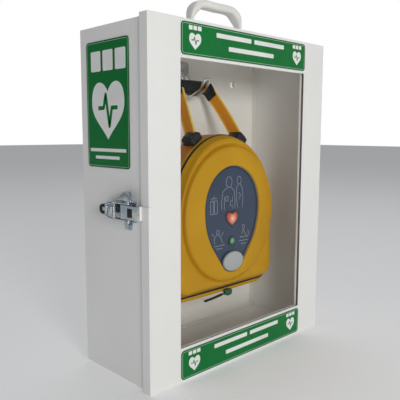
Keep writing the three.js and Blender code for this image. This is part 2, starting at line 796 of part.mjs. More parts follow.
function caseRearShell() {
  const rim = zipY + zipWidth / 2 + gap;
  const at = { x: deviceX, curve: 9 };
  return cut(
    slab(archShape(0), [rim - farBehind, caseRear], { ...at, round: 9 }),
    block([-300, 300], [rim - 2 * farBehind, rim], [-300, 300]),
    slab(archShape(caseWall), [rim - farBehind, caseRear - caseWall], { ...at, steps: 1, round: 8 }),
  );
}

function caseZip() {
  const y = [zipY - zipWidth / 2, zipY + zipWidth / 2];
  const at = { x: deviceX, curve: 9 };
  return cut(slab(archShape(0.6), y, at), slab(archShape(3.4), [y[0] - 1, y[1] + 1], at));
}

function casePouch() {
  const shape = rectangle([-pouchHalfWidth, pouchHalfWidth], [pouchBottomZ, pouchTopZ], 18);
  return slab(shape, [caseRear + gap, -sheet - throwGap], { x: deviceX, round: 8, curve: 4 });
}

// ---- Strap --------------------------------------------------------------------------------------

const clipTurn = clipArchAngle * degrees;
const archPoint = [caseHalfWidth * Math.cos(clipTurn), caseArchZ + caseArchRise * Math.sin(clipTurn)];
const clipTilt = Math.atan2(caseArchRise * Math.cos(clipTurn), caseHalfWidth * Math.sin(clipTurn));
const clipLift = clipHeight / 2 + throwGap;
const clipX = archPoint[0] + clipLift * Math.sin(clipTilt);
const clipZ = archPoint[1] + clipLift * Math.cos(clipTilt);
const clipY = zipY + 14;

// One strap leg, from a round end beside the grip down to its clip. margin fattens it for a slot.
function strapLeg(side, margin) {
  const half = webbingWidth / 2 + margin;
  const down = new THREE.Vector2(clipY - gripY, clipZ - gripZ).normalize();
  const across = new THREE.Vector2(-down.y, down.x).multiplyScalar(half);
  const top = new THREE.Vector2(gripY, gripZ);
  const bottom = new THREE.Vector2(clipY, clipZ);
  const start = Math.atan2(across.y, across.x);
  const shape = new THREE.Shape();
  shape.moveTo(bottom.x + across.x, bottom.y + across.y);
  shape.lineTo(top.x + across.x, top.y + across.y);
  shape.absarc(top.x, top.y, half, start, start - Math.PI, true);
  shape.lineTo(bottom.x - across.x, bottom.y - across.y);
  const outline = shape.getPoints(6).map((point) => [point.x, point.y]);
  const inner = gripLength / 2 + gap - margin;
  const outer = inner + webbingThickness + 2 * margin;
  const leg = sidePlate(outline, side > 0 ? [inner, outer] : [-outer, -inner]);
  const highest = gripZ + half;
  const spread = (side * (clipX - (inner + outer) / 2)) / (highest - clipZ);
  const lean = new THREE.Matrix4().makeShear(0, 0, 0, 0, -spread, 0);
  return leg.applyMatrix4(lean).translate(deviceX + spread * highest, 0, 0);
}

function strapClip(side) {
  const half = clipLength / 2;
  const shape = rectangle([-half, half], [-clipHeight / 2, clipHeight / 2], 4);
  const body = slab(shape, [-clipDepth / 2, clipDepth / 2], { round: 2, steps: 1, curve: 3 });
  body.rotateY(side * clipTilt).translate(deviceX + side * clipX, clipY, clipZ);
  return cut(body, strapLeg(side, gap));
}

function strapGrip() {
  const half = gripLength / 2;
  return rod("x", gripRadius, [deviceX - half, deviceX + half], [gripY, gripZ], 24);
}

// ---- Defibrillator ------------------------------------------------------------------------------

function heartShape(margin) {
  const half = heartHalfWidth + margin;
  const top = heartZ + heartHeight / 2 + margin;
  const tip = heartZ - heartHeight / 2 - 1.4 * margin;
  const shape = new THREE.Shape();
  shape.moveTo(0, top - 4);
  shape.bezierCurveTo(half * 0.25, top + 1, half, top + 1.5, half, heartZ + 3);
  shape.bezierCurveTo(half, heartZ - 3, half * 0.45, tip + 5, 0, tip);
  shape.bezierCurveTo(-half * 0.45, tip + 5, -half, heartZ - 3, -half, heartZ + 3);
  shape.bezierCurveTo(-half, top + 1.5, -half * 0.25, top + 1, 0, top - 4);
  return shape;
}

// The three holes through the panel and the front shell behind it.
function controlHoles(y) {
  return [
    rod("y", onButtonRadius + 0.4, y, [deviceX, onButtonZ], 20),
    rod("y", lightRadius + running, y, [deviceX + lightX, lightZ], 12),
    slab(heartShape(0.4), y, { x: deviceX, curve: 4 }),
  ];
}

function deviceFrontShell() {
  const at = { x: deviceX, curve: 7, steps: 1 };
  const shoulder = shoulderY + caseWall + 2;
  const outside = join(
    slab(archShape(deviceInset), [shoulder, splitY + farBehind], { ...at, round: deviceRound }),
    slab(frontOval(deviceInset), [deviceFront, splitY + farBehind], { ...at, round: 4 }),
  );
  const inset = deviceInset + deviceWall;
  return cut(
    outside,
    block([-300, 300], [splitY, splitY + 2 * farBehind], [-300, 300]),
    slab(archShape(inset), [shoulder + deviceWall, splitY + farBehind], { ...at, round: 5 }),
    slab(frontOval(inset), [deviceFront + deviceWall, splitY + farBehind], { ...at, round: 3 }),
    ...controlHoles([deviceFront - 1, deviceFront + deviceWall + 1]),
  );
}

function deviceRearShell() {
  const at = { x: deviceX, curve: 7, steps: 1 };
  const rim = splitY + gap;
  return cut(
    slab(archShape(deviceInset), [rim - farBehind, deviceRear], { ...at, round: deviceRound }),
    block([-300, 300], [rim - 2 * farBehind, rim], [-300, 300]),
    slab(archShape(deviceInset + deviceWall), [rim - farBehind, deviceRear - deviceWall], { ...at, round: 5 }),
  );
}

function membranePanel() {
  const y = [panelY, panelY + membraneThickness];
  return cut(
    slab(panelShape(2), y, { x: deviceX, curve: 7 }),
    ...controlHoles([y[0] - 1, y[1] + 1]),
  );
}

function speakerCap() {
  const shape = ellipse(capHalfWidth, capHalfHeight, capZ);
  const rear = panelY - gap;
  return slab(shape, [rear - capThickness, rear], { x: deviceX, round: 1.8, curve: 8 });
}

function onButton() {
  const front = panelY - buttonStand;
  return rod("y", onButtonRadius, [front, front + buttonThickness], [deviceX, onButtonZ], 20);
}

function shockButton() {
  const front = panelY - buttonStand;
  return slab(heartShape(0), [front, front + buttonThickness], { x: deviceX, curve: 4 });
}

const boardY = deviceFront + 16;
const cartridgeRear = deviceRear - deviceWall - gap;
const cartridgeFront = cartridgeRear - cartridgeDepth;
const cartridgeBottom = caseBottomZ + deviceInset + deviceWall + 10;
const cartridgeTop = cartridgeBottom + cartridgeHeight;

function mainBoard() {
  const z = [panelWaistZ + 10, panelTopZ - 6];
  return block([deviceX - 56, deviceX + 56], [boardY, boardY + boardThickness], z);
}

function capacitor() {
  return rod("x", 14, [deviceX - 24, deviceX + 24], [boardY + boardThickness + 1 + 14, panelWideZ + 28], 20);
}

function speaker() {
  return rod("y", 16, [deviceFront + deviceWall + 1, boardY - 1], [deviceX, capZ], 20);
}

function statusLight() {
  return rod("y", lightRadius, [panelY - 0.6, boardY - 4], [deviceX + lightX, lightZ], 12);
}

// The battery and pad cartridge: a tray with its open side towards the front.
function cartridgeHousing() {
  const x = [deviceX - cartridgeHalfWidth, deviceX + cartridgeHalfWidth];
  const inner = (range) => [range[0] + cartridgeWall, range[1] - cartridgeWall];
  const z = [cartridgeBottom, cartridgeTop];
  return cut(
    block(x, [cartridgeFront, cartridgeRear], z),
    block(inner(x), [cartridgeFront - 1, cartridgeRear - cartridgeWall], inner(z)),
  );
}

function batteryCell(side) {
  const bottom = cartridgeBottom + cartridgeWall + 2;
  const y = cartridgeRear - cartridgeWall - gap - cellRadius;
  return rod("z", cellRadius, [bottom, bottom + cellLength], [deviceX + side * 2.2 * cellRadius, y]);
}

function electrodePads() {
  const half = cartridgeHalfWidth - cartridgeWall - gap;
  const y = [cartridgeFront + gap, cartridgeFront + gap + 3.5];
  const z = [cartridgeBottom + cartridgeWall + gap, cartridgeTop - cartridgeWall - gap];
  return block([deviceX - half, deviceX + half], y, z);
}

// ---- Zip slider ---------------------------------------------------------------------------------

const sliderTop = caseBottomZ - gap;
const sliderMiddle = deviceX + sliderX;

function zipSlider() {
  const half = sliderLength / 2;
  const shape = rectangle([-half, half], [sliderTop - sliderHeight, sliderTop], 2.5);
  const y = [zipY - sliderWidth / 2, zipY + sliderWidth / 2];
  return slab(shape, y, { x: sliderMiddle, round: 1.5, steps: 1, curve: 3 });
}

function zipPull() {
  const right = sliderMiddle - sliderLength / 2 - gap;
  const z = [sliderTop - sliderHeight, sliderTop - sliderHeight + 3];
  return block([right - pullLength, right], [zipY - 2, zipY + 2], z);
}

// ---- Assembly -----------------------------------------------------------------------------------

function addCabinet() {
  add("cabinet_wrapper", "whitePaint", cabinetWrapper());
  add("back_panel", "whitePaint", backPanel());
  add("hook_plate", "chrome", hookPlate());
  add("hook_wire", "chrome", hookWire());
  add("hook_screw_upper", "chrome", hookScrew(hookScrewZ[0]));
  add("hook_screw_lower", "chrome", hookScrew(hookScrewZ[1]));
  for (const [place, z] of hinges) {
    add(`hinge_${place}_cabinet_leaf`, "whitePaint", cabinetLeaf(z));
    add(`hinge_${place}_door_leaf`, "whitePaint", doorLeaf(z));
    add(`hinge_${place}_pin`, "zinc", hingePin(z));
    add(`hinge_${place}_rivet`, "whitePaint", hingeRivet(z));
  }
  add("carry_handle", "whitePlastic", carryHandle());
  add("handle_screw_left", "zinc", handleScrew(-1));
  add("handle_screw_right", "zinc", handleScrew(1));
  add("side_label", "greenLabel", sideLabel());
}

function addLatch() {
  add("latch_base", "zinc", latchBase());
  add("latch_pivot_upper", "zinc", latchPivot(1));
  add("latch_pivot_lower", "zinc", latchPivot(-1));
  for (const [place, z] of earRivets) add(`latch_rivet_${place}`, "zinc", earRivet(z));
  add("latch_lever", "zinc", latchLever());
  add("latch_lever_tip", "blackRubber", latchTip());
  add("bail_pin", "zinc", bailPin());
  add("latch_bail", "zinc", latchBail());
  add("bail_pad", "blackRubber", bailPad());
}

function addDoor() {
  add("door_panel", "whitePaint", doorPanel());
  add("window_seal", "blackRubber", windowSeal());
  add("window_pane", "clear", windowPane());
  add("window_retainer", "whitePlastic", windowRetainer());
  add("strike_plate", "whitePaint", strikePlate());
  add("top_label", "greenLabel", railLabel(1));
  add("bottom_label", "greenLabel", railLabel(-1));
}

function addCase() {
  add("case_front", "yellowCase", caseFrontShell());
  add("case_rear", "yellowCase", caseRearShell());
  add("case_zip", "blackPlastic", caseZip());
  add("case_pouch", "yellowCase", casePouch());
  add("strap_grip", "blackRubber", strapGrip());
  for (const [place, side] of [["left", -1], ["right", 1]]) {
    add(`strap_${place}`, "orangeWebbing", strapLeg(side, 0));
    add(`strap_clip_${place}`, "blackPlastic", strapClip(side));
  }
  add("zip_slider", "greenPlastic", zipSlider());
  add("zip_pull", "blackPlastic", zipPull());
}

function addDevice() {
  add("device_front", "greyShell", deviceFrontShell());
  add("device_rear", "greyShell", deviceRearShell());
  add("membrane_panel", "slatePanel", membranePanel());
  add("speaker_cap", "paleCap", speakerCap());
  add("on_button", "greenPlastic", onButton());
  add("shock_button", "redButton", shockButton());
  add("speaker", "blackPlastic", speaker());
  add("main_board", "circuit", mainBoard());
  add("capacitor", "foil", capacitor());
  add("status_light", "greenPlastic", statusLight());
  add("cartridge_housing", "greyShell", cartridgeHousing());
  add("battery_cell_left", "foil", batteryCell(-1));
  add("battery_cell_right", "foil", batteryCell(1));
  add("electrode_pads", "foil", electrodePads());
}

addCabinet();
addLatch();
addDoor();
addCase();
addDevice();

export default object;
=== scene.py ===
"""The looks of a defibrillator in its wall cabinet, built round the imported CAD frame.

Lengths here are millimetres in the part's frame; make() turns them into Blender's metres.
"""

import json
import math

import bmesh
import bpy
import numpy as np
from mathutils import Matrix, Vector


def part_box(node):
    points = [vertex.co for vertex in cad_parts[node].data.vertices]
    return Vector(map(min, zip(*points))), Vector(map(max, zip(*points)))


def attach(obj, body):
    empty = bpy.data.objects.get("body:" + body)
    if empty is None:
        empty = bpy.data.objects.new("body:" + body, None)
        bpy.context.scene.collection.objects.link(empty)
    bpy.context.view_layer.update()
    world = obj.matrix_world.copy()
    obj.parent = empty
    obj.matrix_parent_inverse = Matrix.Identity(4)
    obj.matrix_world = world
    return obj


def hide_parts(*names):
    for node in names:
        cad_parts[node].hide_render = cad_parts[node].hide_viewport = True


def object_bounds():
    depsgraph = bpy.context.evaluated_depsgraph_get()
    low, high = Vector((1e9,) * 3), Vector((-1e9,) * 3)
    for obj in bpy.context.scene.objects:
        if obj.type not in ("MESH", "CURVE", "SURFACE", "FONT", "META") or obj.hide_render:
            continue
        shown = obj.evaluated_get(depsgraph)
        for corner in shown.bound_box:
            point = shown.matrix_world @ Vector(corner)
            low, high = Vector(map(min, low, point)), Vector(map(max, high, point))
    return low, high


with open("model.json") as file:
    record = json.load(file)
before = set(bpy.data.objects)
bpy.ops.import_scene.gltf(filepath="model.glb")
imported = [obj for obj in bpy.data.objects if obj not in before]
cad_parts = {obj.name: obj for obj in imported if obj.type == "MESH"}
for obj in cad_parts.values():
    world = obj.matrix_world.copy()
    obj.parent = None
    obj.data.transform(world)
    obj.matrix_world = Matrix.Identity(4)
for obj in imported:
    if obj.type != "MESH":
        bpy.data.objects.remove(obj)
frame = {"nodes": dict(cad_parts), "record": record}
cad_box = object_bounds()
nodes = frame["nodes"]
scene = bpy.context.scene
MM = 0.001


def box(node):
    """Lowest and highest corner of a CAD node, in millimetres."""
    low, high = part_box(node)
    return [v / MM for v in low], [v / MM for v in high]


def centre_of(node):
    """Middle of a CAD node's box, in millimetres."""
    return [(a + b) / 2 for a, b in zip(*box(node))]


# ---- Camera, light and floor ----

CAMERA_PLACE = (-0.5693, -0.6299, 0.0934)
CAMERA_YAW, CAMERA_PITCH, CAMERA_ROLL = 45.71, 7.207, 0.18
CAMERA_LENS = 48.04
AMBIENT = 0.19
FLOOR_GLOW = 0.20
LIGHTS = {  # place, target and size in metres, power in watts, colour
    "key": ((-0.90, -2.45, 0.50), (0.0, -0.05, 0.0), 0.9, 27, (1.0, 0.985, 0.95)),
    "fill": ((1.9, -1.9, 0.9), (0.0, -0.05, 0.0), 1.6, 4, (1.0, 0.97, 0.92)),
    "top": ((0.5, 0.5, 2.6), (0.0, -0.05, 0.1), 1.6, 14, (0.98, 0.99, 1.0)),
}


def add_camera():
    yaw, pitch, roll = (math.radians(v) for v in (CAMERA_YAW, CAMERA_PITCH, CAMERA_ROLL))
    forward = Vector((math.cos(yaw) * math.cos(pitch), math.sin(yaw) * math.cos(pitch), -math.sin(pitch)))
    right = Vector((math.sin(yaw), -math.cos(yaw), 0))
    up = right.cross(forward)
    right, up = math.cos(roll) * right + math.sin(roll) * up, math.cos(roll) * up - math.sin(roll) * right
    camera = bpy.data.objects.new("camera", bpy.data.cameras.new("camera"))
    camera.data.lens = CAMERA_LENS
    camera.data.sensor_width = 36
    turn = Matrix((right, up, -forward)).transposed().to_4x4()
    camera.matrix_world = Matrix.Translation(CAMERA_PLACE) @ turn
    scene.collection.objects.link(camera)
    scene.camera = camera


def add_light(name, place, target, size, energy, colour):
    data = bpy.data.lights.new(name, "AREA")
    data.shape = "DISK"
    data.size = size
    data.energy = energy
    data.color = colour
    light = bpy.data.objects.new(name, data)
    light.location = place
    light.rotation_mode = "QUATERNION"
    light.rotation_quaternion = (Vector(target) - Vector(place)).to_track_quat("-Z", "Y")
    scene.collection.objects.link(light)


def add_world():
    world = bpy.data.worlds.new("studio")
    world.use_nodes = True
    scene.world = world
    tree = world.node_tree
    lit = tree.nodes["Background"]
    lit.inputs["Color"].default_value = (0.93, 0.96, 1.0, 1)
    lit.inputs["Strength"].default_value = AMBIENT
    seen = tree.nodes.new("ShaderNodeBackground")
    seen.inputs["Color"].default_value = (1, 1, 1, 1)
    mix = tree.nodes.new("ShaderNodeMixShader")
    path = tree.nodes.new("ShaderNodeLightPath")
    tree.links.new(path.outputs["Is Camera Ray"], mix.inputs[0])
    tree.links.new(lit.outputs[0], mix.inputs[1])
    tree.links.new(seen.outputs[0], mix.inputs[2])
    tree.links.new(mix.outputs[0], tree.nodes["World Output"].inputs["Surface"])


def add_floor():
    half = 12
    level = cad_box[0].z - 0.0004
    mesh = bpy.data.meshes.new("floor")
    corners = [(-half, -half, level), (half, -half, level), (half, half, level), (-half, half, level)]
    mesh.from_pydata(corners, [], [(0, 1, 2, 3)])
    floor = bpy.data.objects.new("floor", mesh)
    scene.collection.objects.link(floor)
    material = bpy.data.materials.new("floor")
    material.use_nodes = True
    shader = material.node_tree.nodes["Principled BSDF"]
    shader.inputs["Base Color"].default_value = (0.85, 0.85, 0.86, 1)
    shader.inputs["Roughness"].default_value = 0.9
    shader.inputs["Specular IOR Level"].default_value = 0.1
    shader.inputs["Emission Color"].default_value = (1, 1, 1, 1)
    shader.inputs["Emission Strength"].default_value = FLOOR_GLOW
    mesh.materials.append(material)


# ---- Materials ----


class Surface:
    """A procedural material. Its textures lie in object space, in metres."""

    def __init__(self, name, roughness, metallic=0.0, **sockets):
        self.material = bpy.data.materials.new(name)
        self.material.use_nodes = True
        self.tree = self.material.node_tree
        self.shader = self.tree.nodes["Principled BSDF"]
        self.place = self.tree.nodes.new("ShaderNodeTexCoord").outputs["Object"]
        self.set(self.shader, Roughness=roughness, Metallic=metallic, **sockets)
        self.normal = None

    @staticmethod
    def set(node, **values):
        for key, value in values.items():
            node.inputs[key.replace("_", " ")].default_value = value

    def link(self, start, end):
        self.tree.links.new(start, end)

    def noise(self, scale, detail=3.0, stretch=None):
        node = self.tree.nodes.new("ShaderNodeTexNoise")
        self.set(node, Scale=scale, Detail=detail)
        if stretch:
            mapping = self.tree.nodes.new("ShaderNodeMapping")
            mapping.inputs["Scale"].default_value = stretch
            self.link(self.place, mapping.inputs["Vector"])
            self.link(mapping.outputs["Vector"], node.inputs["Vector"])
        else:
            self.link(self.place, node.inputs["Vector"])
        return node.outputs["Fac"]

    def wave(self, direction, period):
        """Bands across one axis, or across the diagonal. period is in metres."""
        node = self.tree.nodes.new("ShaderNodeTexWave")
        node.bands_direction = direction
        self.set(node, Scale=2 * math.pi / 20 / period)
        self.link(self.place, node.inputs["Vector"])
        return node.outputs["Fac"]

    def math(self, operation, a, b):
        node = self.tree.nodes.new("ShaderNodeMath")
        node.operation = operation
        for socket, value in zip(node.inputs, (a, b)):
            if isinstance(value, (int, float)):
                socket.default_value = value
            else:
                self.link(value, socket)
        return node.outputs[0]

    def ramp(self, fac, stops):
        node = self.tree.nodes.new("ShaderNodeValToRGB")
        ramp = node.color_ramp
        while len(ramp.elements) < len(stops):
            ramp.elements.new(0.5)
        for element, (position, colour) in zip(ramp.elements, stops):
            element.position = position
            element.color = (*colour, 1)
        self.link(fac, node.inputs["Fac"])
        return node.outputs["Color"]

    def spread(self, fac, low, high):
        node = self.tree.nodes.new("ShaderNodeMapRange")
        self.set(node, From_Min=0.3, From_Max=0.7, To_Min=low, To_Max=high)
        self.link(fac, node.inputs["Value"])
        return node.outputs["Result"]

    def tint(self, colour, amount, scale=14.0, other=None):
        """Soft patches a little darker and lighter than colour."""
        dark = tuple(v * (1 - amount) for v in colour)
        light = other or tuple(min(1.0, v * (1 + amount)) for v in colour)
        stops = [(0.32, dark), (0.5, colour), (0.68, light)]
        self.link(self.ramp(self.noise(scale, 4.0), stops), self.shader.inputs["Base Color"])
        return self

    def rough(self, low, high, scale=60.0):
        self.link(self.spread(self.noise(scale, 4.0), low, high), self.shader.inputs["Roughness"])
        return self

    def bump(self, height, depth, strength=1.0):
        """depth is in metres, from the texture's black to its white."""
        node = self.tree.nodes.new("ShaderNodeBump")
        self.set(node, Strength=strength, Distance=depth)
        self.link(height, node.inputs["Height"])
        if self.normal:
            self.link(self.normal, node.inputs["Normal"])
        self.normal = node.outputs["Normal"]
        self.link(self.normal, self.shader.inputs["Normal"])
        return self


def powder_coat(name, colour):
    s = Surface(name, 0.4, 0.0, Specular_IOR_Level=0.45)
    s.tint(colour, 0.018, 9.0).rough(0.34, 0.46, 90.0)
    s.bump(s.noise(650.0, 2.0), 0.00006).bump(s.noise(9.0, 1.0), 0.0012, 0.25)
    return s.material


def plastic(name, colour, roughness=0.45, grain=2400.0, depth=0.00004, amount=0.05, **sockets):
    s = Surface(name, roughness, 0.0, **sockets)
    s.tint(colour, amount, 22.0).rough(roughness - 0.07, roughness + 0.08, 150.0)
    s.bump(s.noise(grain, 2.0), depth)
    return s.material


def zinc(name, colour=(0.50, 0.56, 0.60)):
    s = Surface(name, 0.3, 0.92)
    blue = (colour[0] * 0.82, colour[1] * 0.95, colour[2] * 1.12)
    pale = (0.74, 0.76, 0.74)
    s.link(
        s.ramp(s.noise(70.0, 5.0), [(0.3, blue), (0.5, colour), (0.66, pale)]),
        s.shader.inputs["Base Color"],
    )
    s.rough(0.2, 0.42, 260.0)
    s.bump(s.noise(500.0, 3.0, (1, 1, 0.08)), 0.00005, 0.6)
    return s.material


def chrome(name):
    s = Surface(name, 0.1, 1.0)
    s.tint((0.80, 0.81, 0.82), 0.03, 50.0).rough(0.05, 0.16, 300.0)
    return s.material


def rubber(name, colour=(0.018, 0.019, 0.021)):
    s = Surface(name, 0.6, 0.0, Specular_IOR_Level=0.4)
    s.tint(colour, 0.25, 60.0).rough(0.5, 0.72, 300.0)
    s.bump(s.noise(1800.0, 3.0), 0.00006)
    return s.material


def cloth_skin(name, colour, shade):
    """The moulded case: a fine knit laminated on foam."""
    s = Surface(name, 0.55, 0.0, Sheen_Weight=0.03, Sheen_Roughness=0.4, Specular_IOR_Level=0.3)
    s.tint(colour, 0.06, 11.0, shade).rough(0.46, 0.62, 120.0)
    knit = s.math("MULTIPLY", s.wave("X", 0.0009), s.wave("Z", 0.0009))
    s.bump(knit, 0.00005, 0.5).bump(s.noise(45.0, 3.0), 0.0006, 0.35)
    return s.material


def webbing(name, colour, shade):
    s = Surface(name, 0.7, 0.0, Sheen_Weight=0.06, Sheen_Roughness=0.5, Specular_IOR_Level=0.3)
    rib = s.math("MULTIPLY", s.wave("DIAGONAL", 0.0016), s.wave("Z", 0.0022))
    s.link(s.ramp(rib, [(0.1, shade), (0.75, colour)]), s.shader.inputs["Base Color"])
    s.bump(rib, 0.00022, 0.8).bump(s.noise(900.0, 2.0), 0.00008, 0.6)
    return s.material


def vinyl(name, colour, roughness=0.32):
    s = Surface(name, roughness, 0.0, Coat_Weight=0.02, Coat_Roughness=0.2, Specular_IOR_Level=0.18)
    s.tint(colour, 0.06, 16.0).rough(roughness - 0.06, roughness + 0.08, 140.0)
    s.bump(s.noise(24.0, 2.0), 0.0004, 0.25)
    return s.material


def clear_sheet(name):
    s = Surface(name, 0.06, 0.0, Alpha=0.015, IOR=1.58)
    s.tint((0.10, 0.13, 0.14), 0.04, 6.0).rough(0.03, 0.09, 20.0)
    return s.material


def board(name):
    s = Surface(name, 0.4, 0.0, Coat_Weight=0.4)
    cells = s.tree.nodes.new("ShaderNodeTexVoronoi")
    cells.distance = "MANHATTAN"
    cells.feature = "DISTANCE_TO_EDGE"
    s.set(cells, Scale=160.0)
    s.link(s.place, cells.inputs["Vector"])
    track = cells.outputs["Distance"]
    stops = [(0.02, (0.10, 0.36, 0.16)), (0.07, (0.03, 0.17, 0.07))]
    s.link(s.ramp(track, stops), s.shader.inputs["Base Color"])
    s.bump(track, 0.0001, 0.5)
    return s.material


def foil(name):
    s = Surface(name, 0.35, 0.7)
    s.tint((0.62, 0.63, 0.65), 0.08, 80.0).rough(0.25, 0.5, 200.0)
    s.bump(s.noise(160.0, 4.0), 0.0005, 0.6)
    return s.material


def lens(name, edge, centre, place, reach, glow):
    """A button colour that is lighter round one place, given in metres: a painted highlight, with a faint
    painted glow from emission.
    """
    s = Surface(name, 0.22, 0.0, Coat_Weight=0.6, Coat_Roughness=0.08)
    distance = s.tree.nodes.new("ShaderNodeVectorMath")
    distance.operation = "DISTANCE"
    s.link(s.place, distance.inputs[0])
    distance.inputs[1].default_value = place
    near = s.math("DIVIDE", distance.outputs["Value"], reach)
    between = tuple(0.5 * (a + b) for a, b in zip(edge, centre))
    shade = s.ramp(near, [(0.1, centre), (0.45, between), (0.9, edge)])
    s.link(shade, s.shader.inputs["Base Color"])
    # the same colour also glows a little through emission: painted glow
    s.link(shade, s.shader.inputs["Emission Color"])
    s.set(s.shader, Emission_Strength=glow)
    s.rough(0.16, 0.28, 200.0)
    s.bump(s.noise(700.0, 2.0), 0.00004)
    return s.material


WHITE = powder_coat("white_powder_coat", (0.90, 0.90, 0.885))
# a lighter, warmer copy of the white coat for the back panel and wall caps: painted bounce light inside the
# cabinet
WHITE_PAINTED_LIGHT = powder_coat("white_powder_coat_inside", (0.92, 0.91, 0.86))
HANDLE = plastic("white_moulded_plastic", (0.93, 0.92, 0.88), 0.42, amount=0.02)
ZINC = zinc("zinc_plate")
CHROME = chrome("chrome")
RUBBER = rubber("black_rubber")
BLACK = plastic("black_plastic", (0.016, 0.018, 0.021), 0.38, 1500.0)
CLEAR = clear_sheet("clear_polycarbonate")
GREEN = vinyl("green_vinyl", (0.002, 0.18, 0.036))
DARK_GREEN = vinyl("dark_green_vinyl", (0.003, 0.12, 0.032))
INK = vinyl("white_ink", (0.86, 0.88, 0.86), 0.4)
PALE_INK = vinyl("pale_green_ink", (0.42, 0.62, 0.48), 0.4)
YELLOW = cloth_skin("yellow_moulded_cloth", (0.60, 0.315, 0.004), (0.66, 0.35, 0.006))
# an orange-brown copy of the yellow case cloth for the rear shell's upper side wall: painted shade
SIDE_PAINTED_SHADE = cloth_skin("orange_gusset_cloth", (0.60, 0.20, 0.010), (0.66, 0.24, 0.012))
ORANGE = webbing("orange_webbing", (1.0, 0.43, 0.010), (0.82, 0.30, 0.006))
# a paler yellow copy of the webbing: thread colour on the stitches, painted highlight on the rolled edges
PALE_THREAD_AND_HIGHLIGHT = webbing("yellow_edge_webbing", (1.0, 0.70, 0.17), (0.88, 0.56, 0.09))
BLACK_WEBBING = webbing("black_webbing", (0.035, 0.035, 0.038), (0.012, 0.012, 0.013))
NEOPRENE = webbing("black_neoprene", (0.028, 0.032, 0.034), (0.014, 0.016, 0.018))
SHELL = plastic("grey_housing", (0.07, 0.08, 0.095), 0.5)
SLATE = plastic("slate_membrane", (0.030, 0.052, 0.100), 0.36, 1900.0, 0.00003, 0.10, Coat_Weight=0.25)
NAVY = plastic("navy_membrane_rim", (0.014, 0.022, 0.045), 0.34, Coat_Weight=0.3)
LINE = vinyl("pale_line_ink", (0.30, 0.33, 0.39), 0.45)
CAP = plastic("pale_grey_cap", (0.46, 0.48, 0.49), 0.5, 1300.0, 0.00008, 0.03)
GREEN_PLASTIC = plastic("green_plastic", (0.010, 0.10, 0.045), 0.38, Coat_Weight=0.2)
PCB = board("circuit_board")
FOIL = foil("foil")

SLOTS = {
    "white_paint": WHITE,
    "white_plastic": HANDLE,
    "zinc_plate": ZINC,
    "chrome_wire": CHROME,
    "black_rubber": RUBBER,
    "black_plastic": BLACK,
    "clear_pane": CLEAR,
    "green_label": GREEN,
    "yellow_case": YELLOW,
    "orange_webbing": ORANGE,
    "grey_shell": SHELL,
    "slate_panel": SLATE,
    "pale_cap": CAP,
    "green_plastic": GREEN_PLASTIC,
    "red_button": CAP,
    "circuit_board": PCB,
    "foil": FOIL,
}

# ---- Mesh helpers ----


def make(name, verts, faces, body, slot, material, sharp=40, replaces=(), index=None):
    """A closed mesh piece that rides on a body. material is one, or several with index a face."""
    mesh = bpy.data.meshes.new(name)
    mesh.from_pydata([tuple(float(v) * MM for v in p) for p in verts], [], faces)
    for m in material if isinstance(material, (list, tuple)) else [material]:
        mesh.materials.append(m)
    if index is not None:
        mesh.polygons.foreach_set("material_index", index)
    b = bmesh.new()
    b.from_mesh(mesh)
    bmesh.ops.remove_doubles(b, verts=b.verts, dist=1e-7)
    bmesh.ops.recalc_face_normals(b, faces=b.faces)
    b.to_mesh(mesh)
    b.free()
    mesh.polygons.foreach_set("use_smooth", [True] * len(mesh.polygons))
    mesh.set_sharp_from_angle(angle=math.radians(sharp))
    piece = bpy.data.objects.new(name, mesh)
    scene.collection.objects.link(piece)
    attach(piece, body)
    if replaces:
        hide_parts(*replaces)
    return piece


def soften(piece, levels=1):
    """Subdivision for a piece that is all smooth."""
    modifier = piece.modifiers.new("smooth", "SUBSURF")
    modifier.levels = modifier.render_levels = levels


class Shape:
    """Vertices and faces of one piece, gathered from closed parts."""

    def __init__(self):
        self.verts, self.faces, self.index = [], [], []

    def add(self, verts, faces, index=0):
        start = len(self.verts)
        self.verts.extend(verts)
        self.faces.extend(tuple(start + i for i in face) for face in faces)
        self.index.extend([index] * len(faces))
        return self

    def make(self, name, body, slot, material, **options):
        index = self.index if isinstance(material, (list, tuple)) else None
        return make(name, self.verts, self.faces, body, slot, material, index=index, **options)


def loft(rings, loop=False):
    """Closed rings of equal length joined in order. loop joins the last to the first."""
    n, count = len(rings[0]), len(rings)
    faces = []
    for i in range(count if loop else count - 1):
        a, b = i * n, (i + 1) % count * n
        faces += [(a + k, a + (k + 1) % n, b + (k + 1) % n, b + k) for k in range(n)]
    if not loop:
        faces += [tuple(range(n))[::-1], tuple(range((count - 1) * n, count * n))]
    return [tuple(p) for ring in rings for p in ring], faces


def shrink(outline, distance):
    """A plane outline moved inwards (counter-clockwise points)."""
    p = np.array(outline, float)
    edge = np.roll(p, -1, 0) - p
    edge /= np.maximum(np.linalg.norm(edge, axis=1, keepdims=True), 1e-9)
    normal = np.stack([-edge[:, 1], edge[:, 0]], 1)
    joint = normal + np.roll(normal, 1, 0)
    joint /= np.maximum((joint**2).sum(1, keepdims=True) / 2, 0.35)
    return p + joint * distance


def sheet_place(origin, across, up, out):
    """A function from (across, up, out) to the part's frame."""
    origin, across, up, out = (np.array(v, float) for v in (origin, across, up, out))
    return lambda u, v, w: tuple(origin + u * across + v * up + w * out)


def plate(outline, low, high, place, edge=0.0, steps=3):
    """An outline raised from low to high, with its upper edge rounded."""
    rings = [[place(u, v, low) for u, v in outline]]
    for k in range(steps + 1 if edge else 1):
        turn = k / steps * math.pi / 2 if edge else 0
        inner = shrink(outline, edge * (1 - math.cos(turn))) if edge else outline
        level = high - edge + edge * math.sin(turn)
        rings.append([place(u, v, level) for u, v in inner])
    return loft(rings)


def hoop(outer, inner, low, high, place):
    """A flat frame between two outlines of equal length."""
    rings = [(outer, low), (outer, high), (inner, high), (inner, low)]
    return loft([[place(u, v, w) for u, v in outline] for outline, w in rings], loop=True)


